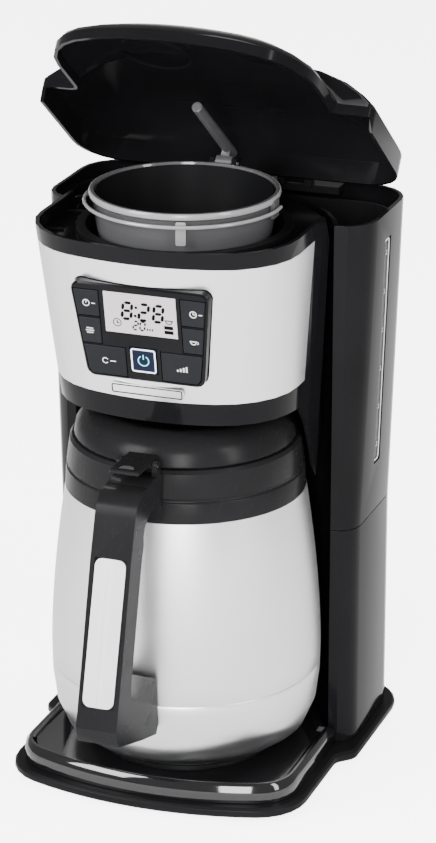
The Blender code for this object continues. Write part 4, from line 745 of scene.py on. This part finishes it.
@dataclass
class ControlPanel(Assembly):
    """The control panel: display, seven keys, their marks and the blank badge."""

    lean: float = math.atan(0.020 / 0.110)
    mark_depth: float = 0.00012
    mark_size: float = 1.3
    mark_gap: float = 0.00002
    badge_half: tuple[float, float] = (0.0218, 0.0029)
    badge_corner: float = 0.0012
    badge_line: float = 0.0007
    power_half: float = 0.0076
    power_corner: float = 0.0016
    power_line: float = 0.0009
    slant: float = 0.14
    digit_share: float = 0.52

    def plane(self) -> Plane:
        """The panel's plane, through the middle of the display's lens."""
        up = Vector((0, -math.sin(self.lean), math.cos(self.lean)))
        out = Vector((0, -math.cos(self.lean), -math.sin(self.lean)))
        return Plane(centre("lcd_window"), Vector((1, 0, 0)), up, out)

    def build(self) -> None:
        """Make the panel."""
        self.refine("control_panel", GLOSS_BLACK, 0.0002)
        self.refine("lcd_window", LCD, 0.0)
        self.dress(LCD, "lcd_module")
        self.dress(BOARD, "control_board")
        self.refine("badge_plate", BAND_STEEL, 0.0)
        for mark in Mark:
            self.refine(mark.value, KEY_BLACK, 0.00025)
            self.key_mark(mark)
        self.refine("key_power", POWER_BLACK, 0.00025)
        self.power_marks()
        self.digits()
        self.badge_outline()

    def front_of(self, node: str) -> tuple[float, float, float]:
        """Across, up and the front face's distance out, of a node in the panel's plane."""
        plane = self.plane()
        points = [plane.local(v.co) for v in self.frame["nodes"][node].data.vertices]
        lows = [min(p[i] for p in points) for i in range(3)]
        highs = [max(p[i] for p in points) for i in range(3)]
        return (lows[0] + highs[0]) / 2, (lows[1] + highs[1]) / 2, highs[2]

    def on_plane(self, name: str, bm: bmesh.types.BMesh, finish: Finish, body: str,
                 at: tuple[float, float, float]) -> None:
        """Put marks on the panel's plane, a hair in front of a face."""
        shift = Matrix.Translation((at[0], at[1], at[2] + self.mark_gap))
        self.piece(name, bm, finish, body, matrix=self.plane().matrix() @ shift)

    def key_mark(self, mark: Mark) -> None:
        """A small key's pictogram."""
        bm = bmesh.new()
        deep = self.mark_depth
        if mark in (Mark.CLOCK, Mark.HAND):
            arc_bar(bm, 0.0015, 0.0004, 0, deep, steps=24)
            plate(bm, rounded(0.0002, 0.0006, 0.0001, (0, 0.0005), 2), 0, deep)
            if mark is Mark.HAND:
                plate(bm, rounded(0.0006, 0.0002, 0.0001, (0.0005, 0.0), 2), 0, deep)
            plate(bm, rounded(0.0009, 0.00022, 0.0002, (0.0034, 0.0), 2), 0, deep)
        elif mark is Mark.LIST:
            for i in (-1, 0, 1):
                plate(bm, rounded(0.0020 - 0.0004 * abs(i), 0.00022, 0.0002, (0, i * 0.0011), 2),
                      0, deep)
        elif mark is Mark.CUP:
            arc_bar(bm, 0.0013, 0.0004, 0, deep, 180, 180, steps=12)
            plate(bm, rounded(0.0017, 0.0002, 0.0001, (0, 0.0002), 2), 0, deep)
            arc_bar(bm, 0.0006, 0.0003, 0, deep, -90, 160, (0.0017, -0.0004), 8)
        elif mark is Mark.LOOP:
            arc_bar(bm, 0.0013, 0.0004, 0, deep, 30, 300, steps=20)
            plate(bm, rounded(0.0014, 0.00022, 0.0002, (0.0036, 0.0), 2), 0, deep)
        else:
            for i in range(4):
                tall = 0.0005 + 0.0003 * i
                plate(bm, rounded(0.0004, tall, 0.0002, (-0.0022 + 0.0014 * i, tall - 0.0014), 2),
                      0, deep)
        bmesh.ops.scale(bm, vec=(self.mark_size, self.mark_size, 1), verts=bm.verts)
        self.on_plane(f"{mark.value}_mark", bm, KEY_INK, mark.value, self.front_of(mark.value))

    def power_marks(self) -> None:
        """The power key's outline and lit symbol."""
        at = self.front_of("key_power")
        bm = bmesh.new()
        plate(bm, rounded(self.power_half, self.power_half, self.power_corner), 0, self.mark_depth,
              self.power_line)
        self.on_plane("key_power_outline", bm, FRAME_INK, "key_power", at)
        bm = bmesh.new()
        arc_bar(bm, 0.0032, 0.0006, 0, self.mark_depth, 120, 300, steps=32)
        plate(bm, rounded(0.0003, 0.0016, 0.00025, (0, 0.0024), 2), 0, self.mark_depth)
        self.on_plane("key_power_symbol", bm, POWER_INK, "key_power", at)

    def digit(self, bm: bmesh.types.BMesh, shown: str, at: tuple[float, float], tall: float,
              thick: float) -> None:
        """Add one slanted seven-segment digit.

        Args:
            bm: The mesh.
            shown: The digit.
            at: Its middle.
            tall: Half its height.
            thick: Width of a segment.
        """
        wide = tall * self.digit_share
        run = thick * 0.5
        ends = {
            "a": ((-wide, tall), (wide, tall)), "g": ((-wide, 0), (wide, 0)),
            "d": ((-wide, -tall), (wide, -tall)), "f": ((-wide, 0), (-wide, tall)),
            "b": ((wide, 0), (wide, tall)), "e": ((-wide, -tall), (-wide, 0)),
            "c": ((wide, -tall), (wide, 0)),
        }
        for letter in SEGMENTS[shown]:
            first, last = (Vector(p) for p in ends[letter])
            along = (last - first).normalized()
            side = Vector((-along.y, along.x)) * run
            gap = along * thick * 0.28
            corners = [first + gap, first + gap + along * run + side, last - gap - along * run + side,
                       last - gap, last - gap - along * run - side, first + gap + along * run - side]
            plate(bm, [(at[0] + c.x + c.y * self.slant, at[1] + c.y) for c in corners], 0,
                  self.mark_depth)

    def digits(self) -> None:
        """What the display shows: a time, a small number and small icons."""
        bm = bmesh.new()
        deep = self.mark_depth
        for shown, x in (("8", -0.0080), ("2", 0.0022), ("8", 0.0110)):
            self.digit(bm, shown, (x, 0.0018), 0.0052, 0.0018)
        for up in (0.0044, -0.0010):
            plate(bm, rounded(0.0008, 0.0008, 0.0005, (-0.0030 + up * self.slant, up), 3), 0, deep)
        for shown, x in (("2", -0.0034), ("0", 0.0008)):
            self.digit(bm, shown, (x, -0.0072), 0.0027, 0.0010)
        for i in range(3):
            plate(bm, rounded(0.0004, 0.0007, 0.0002, (0.0038 + i * 0.0015, -0.0091), 2), 0, deep)
        arc_bar(bm, 0.0024, 0.0005, 0, deep, at=(-0.0146, -0.0064), steps=24)
        plate(bm, rounded(0.0003, 0.0008, 0.0001, (-0.0146, -0.0057), 2), 0, deep)
        plate(bm, rounded(0.0008, 0.0003, 0.0001, (-0.0141, -0.0066), 2), 0, deep)
        arc_bar(bm, 0.0019, 0.0005, 0, deep, 180, 180, (0.0172, -0.0022), 12)
        plate(bm, rounded(0.0025, 0.0003, 0.0001, (0.0172, -0.0019), 2), 0, deep)
        for up in (-0.0064, -0.0094):
            plate(bm, rounded(0.0027, 0.0011, 0.0002, (0.0168, up), 2), 0, deep)
        bmesh.ops.recalc_face_normals(bm, faces=bm.faces)
        self.on_plane("lcd_digits", bm, LCD_INK, "machine", self.front_of("lcd_window"))

    def badge_outline(self) -> None:
        """The blank badge's dark outline."""
        bm = bmesh.new()
        plate(bm, rounded(*self.badge_half, self.badge_corner), 0, self.mark_depth,
              self.badge_line)
        self.on_plane("badge_outline", bm, BADGE_INK, "machine", self.front_of("badge_plate"))


@dataclass
class Basket(Assembly):
    """The filter basket with its liner, rim and tab, and its wire handle."""

    wall: float = 0.0016
    gap: float = 0.0004
    narrowing: float = 0.0150
    tab_bearing: float = -72.0
    tab_half: tuple[float, float] = (0.0030, 0.0070)
    tab_drop: float = 0.0115
    tab_depth: float = 0.0014
    stand_off: float = 0.0002

    def build(self) -> None:
        """Make the basket."""
        self.refine("filter_basket", SMOKE, 0.0002)
        self.refine("basket_handle", SMOKE_RIM, 0.0)
        self.liner()
        self.rim()
        self.tab()

    def liner(self) -> None:
        """A black filter that lines the basket, a hair inside its wall."""
        low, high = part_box("filter_basket")
        axis, top, foot = centre("filter_basket"), high.z, low.z + self.wall + self.gap
        mouth = (high.y - low.y) / 2 - self.wall - self.gap
        deep = mouth - self.narrowing
        profile = [(0, foot), (deep, foot), (mouth - 0.0036, top - 0.0220),
                   (mouth - 0.0011, top - 0.0050), (mouth - 0.0009, top - 0.0012),
                   (mouth - 0.0015, top - 0.0012), (mouth - 0.0019, top - 0.0050),
                   (mouth - 0.0044, top - 0.0220), (deep - 0.0008, foot + 0.0008),
                   (0, foot + 0.0008)]
        bm = turned(profile, axis, 128, closed=False)
        self.piece("filter_basket_liner", bm, LINER, "filter_basket")

    def rim(self) -> None:
        """A lighter beaded band round the outside of the basket's rim."""
        low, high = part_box("filter_basket")
        axis, top = centre("filter_basket"), high.z
        radius = (high.y - low.y) / 2
        profile = [(radius + 0.0002, top - 0.0038), (radius + 0.0010, top - 0.0034),
                   (radius + 0.0013, top - 0.0022), (radius + 0.0013, top - 0.0012),
                   (radius + 0.0008, top - 0.0003), (radius + 0.0002, top - 0.0001)]
        bm = turned(profile, axis, 144)
        self.piece("filter_basket_rim", bm, SMOKE_RIM, "filter_basket")

    def tab(self) -> None:
        """A rounded tab under the rim, facing the front."""
        low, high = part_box("filter_basket")
        axis = centre("filter_basket")
        radius = (high.y - low.y) / 2
        turn = math.radians(self.tab_bearing)
        out = Vector((math.cos(turn), math.sin(turn), 0))
        face = Plane(Vector((axis.x, axis.y, high.z)) + out * (radius + self.stand_off),
                     Vector((-out.y, out.x, 0)), Vector((0, 0, 1)), out)
        bm = bmesh.new()
        plate(bm, rounded(*self.tab_half, 0.0012, (0, -self.tab_drop)), 0.0, self.tab_depth)
        self.piece("filter_basket_tab", bm, SMOKE_RIM, "filter_basket", edge=0.0003,
                   matrix=face.matrix())


@dataclass
class Lid(Assembly):
    """The lid with the raised ring under it, its hinge and the spray arm."""

    ring_radius: float = 0.0215
    ring_width: float = 0.0014
    ring_depth: float = 0.0016
    ring_at: tuple[float, float, float] = (-0.0315, -0.004, 0.3735)

    def build(self) -> None:
        """Make the lid, the hinge and the arm."""
        self.refine("lid", GLOSS_BLACK, 0.0004)
        self.refine("hinge_bracket", SATIN_BLACK, 0.0002)
        self.dress(BRIGHT, "hinge_pin_left", "hinge_pin_right", "spray_arm_pin")
        self.refine("spray_arm_fork", SATIN_BLACK, 0.0002)
        self.refine("spray_arm", GREY, 0.0002)
        self.ring()

    def ring(self) -> None:
        """The raised ring under the lid."""
        axis = centre("carafe_collar")
        hinge = centre("hinge_pin_left")
        joints = self.frame["record"]["behaviour"]["joints"]
        hinge_range = next(j["range_deg"] for j in joints if j["name"] == "lid_hinge")
        turn = Matrix.Rotation(math.radians(min(hinge_range)), 4, "X")
        pivot = Vector((0, hinge.y, hinge.z))
        swing = Matrix.Translation(pivot) @ turn @ Matrix.Translation(-pivot)
        x, y, z = self.ring_at
        bm = bmesh.new()
        arc_bar(bm, self.ring_radius, self.ring_width, -self.ring_depth, 0.0, steps=72)
        place = Matrix.Translation((axis.x + x, axis.y + y, z))
        self.piece("lid_inner_ring", bm, GLOSS_BLACK, "lid", edge=0.0003, matrix=swing @ place)


@dataclass
class Carafe(Assembly):
    """The thermal carafe: steel body, collar, lid, handle and thumb lever."""

    radius: float = 0.0820
    foot: float = 0.0226
    shoulder: float = 0.1822
    shoulder_radius: float = 0.0724
    weld: float = 0.0697
    wall: float = 0.0008
    straight: float = 0.0560
    taper: float = 1.7
    rings: int = 24
    turn_steps: int = 144
    mark_radius: float = 0.0024
    mark_width: float = 0.0040
    mark_inset: float = 0.0040

    def build(self) -> None:
        """Make the carafe."""
        self.body()
        self.dress(BODY_STEEL, "carafe_inner_flask")
        self.refine("carafe_collar", COLLAR_BLACK, 0.0003)
        self.refine("carafe_lid", COLLAR_BLACK, 0.0004)
        self.dress(SILICONE, "carafe_lid_gasket")
        self.refine("carafe_handle", COLLAR_BLACK, 0.0012)
        self.refine("handle_inlay", INLAY_STEEL, 0.0002, 0.0045)
        self.dress(BRIGHT, "lever_pin")
        self.refine("thumb_lever", COLLAR_BLACK, 0.0004)
        self.thumb_mark()

    def body(self) -> None:
        """The outer steel wall, turned finely, with a weld line round its foot."""
        axis = centre("carafe_outer_shell")
        r, foot = self.radius, self.foot
        outer = [(r - 0.030, foot), (r - 0.0185, foot + 0.0012), (r - 0.0085, foot + 0.0085),
                 (r - 0.0025, foot + 0.0225), (r - 0.0003, foot + 0.0400)]
        line = r - 0.0002
        outer += [(line, self.weld - 0.0004), (line - 0.0002, self.weld),
                  (line, self.weld + 0.0004), (r, foot + self.straight)]
        start = foot + self.straight
        for i in range(1, self.rings + 1):
            share = i / self.rings
            outer.append((r + (self.shoulder_radius - r) * share**self.taper,
                          start + (self.shoulder - start) * share))
        inner = [(radius - self.wall, height) for radius, height in outer[::-1]][:-2]
        inner += [(outer[1][0] - 0.001, outer[1][1] + self.wall), (0, foot + self.wall)]
        bm = turned([(0, foot), *outer, *inner], axis, self.turn_steps, closed=False)
        self.piece("carafe_body", bm, BODY_STEEL, "carafe", ("carafe_outer_shell",))

    def thumb_mark(self) -> None:
        """A lighter half-moon on the thumb lever's face."""
        low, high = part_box("thumb_lever")
        bm = bmesh.new()
        arc_bar(bm, self.mark_radius, self.mark_width, 0.00002, 0.0002, 0, 180, steps=18)
        place = Matrix.Translation(((low.x + high.x) / 2, low.y + self.mark_inset, high.z))
        self.piece("thumb_lever_mark", bm, GREY, "thumb_lever", matrix=place)


# --- studio ------------------------------------------------------------------------------------


@dataclass(frozen=True)
class Softbox:
    """A soft light: where it stands, what it points at, its size and its power."""

    name: str
    place: tuple[float, float, float]
    aim: tuple[float, float, float]
    size: tuple[float, float]
    power: float


@dataclass
class Studio:
    """The floor, the lights and the camera.

    The floor shines more to the eye than in reflections, so that it looks white round black plastic.
    """

    camera_place: tuple[float, float, float] = (0.66944, -1.77244, 0.92178)
    turn: float = 20.0
    tilt: float = 20.242
    lens: float = 145.2
    sky: float = 0.45
    floor_half: float = 14.0
    floor_glow: float = 0.30
    backdrop_glow: float = 5.0
    boxes: tuple[Softbox, ...] = (
        Softbox("key", (-1.2, -1.6, 1.3), (0, 0, 0.2), (0.9, 1.2), 85.0),
        Softbox("side", (1.6, -0.6, 0.9), (0, 0, 0.2), (0.35, 1.4), 26.0),
        Softbox("top", (0.1, 0.7, 1.9), (0, 0, 0.3), (1.0, 1.0), 20.0),
        Softbox("front", (0.55, -1.9, 0.7), (0, 0, 0.12), (0.50, 1.3), 60.0),
    )

    def build(self) -> None:
        """Set up the studio."""
        self.floor()
        self.light()
        self.camera()

    def floor(self) -> None:
        """A large pale floor."""
        bm = bmesh.new()
        bmesh.ops.create_grid(bm, x_segments=8, y_segments=8, size=self.floor_half)
        mesh = bpy.data.meshes.new("studio_floor")
        bm.to_mesh(mesh)
        bm.free()
        graph = Graph("finish_floor")
        cloud = graph.noise(graph.place(), 1.5, 2.0)
        graph.drive(Base_Color=graph.mix(cloud, (0.93, 0.93, 0.93), (0.96, 0.96, 0.96)),
                    Roughness=0.9, Emission_Strength=self.backdrop_glow)
        seen = graph.node("ShaderNodeLightPath", output="Is Camera Ray")
        dim = self.floor_glow / self.backdrop_glow
        graph.drive(Emission_Color=graph.mix(seen, (dim, dim, dim), (1.0, 1.0, 1.0)))
        mesh.materials.append(graph.material)
        floor = bpy.data.objects.new("studio_floor", mesh)
        bpy.context.scene.collection.objects.link(floor)

    def light(self) -> None:
        """An even pale sky and the soft lights."""
        world = bpy.data.worlds.new("studio_sky")
        bpy.context.scene.world = world
        world.use_nodes = True
        ground = world.node_tree.nodes["Background"]
        ground.inputs["Color"].default_value = (1.0, 1.0, 1.0, 1.0)
        ground.inputs["Strength"].default_value = self.sky
        for box in self.boxes:
            data = bpy.data.lights.new(f"light_{box.name}", "AREA")
            data.shape = "RECTANGLE"
            data.size, data.size_y = box.size
            data.energy = box.power
            lamp = bpy.data.objects.new(f"light_{box.name}", data)
            bpy.context.scene.collection.objects.link(lamp)
            aim = Vector(box.aim) - Vector(box.place)
            turn = aim.to_track_quat("-Z", "Y").to_matrix().to_4x4()
            lamp.matrix_world = Matrix.Translation(box.place) @ turn

    def camera(self) -> None:
        """The camera, looking down at the machine from the right of its front."""
        data = bpy.data.cameras.new("studio_camera")
        data.lens = self.lens
        data.sensor_width = 36.0
        data.clip_end = 50.0
        camera = bpy.data.objects.new("studio_camera", data)
        bpy.context.scene.collection.objects.link(camera)
        camera.location = self.camera_place
        camera.rotation_euler = (math.radians(90.0 - self.tilt), 0.0, math.radians(self.turn))
        bpy.context.scene.camera = camera


def main() -> None:
    """Build every sub-assembly on the frame, then the studio."""
    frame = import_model()
    for kind in (Base, Housing, Head, ControlPanel, Basket, Lid, Carafe):
        LOG.info("building %s", kind.__name__)
        kind(frame).build()
    Studio().build()
    bpy.context.view_layer.update()


if __name__ == "__main__":
    main()
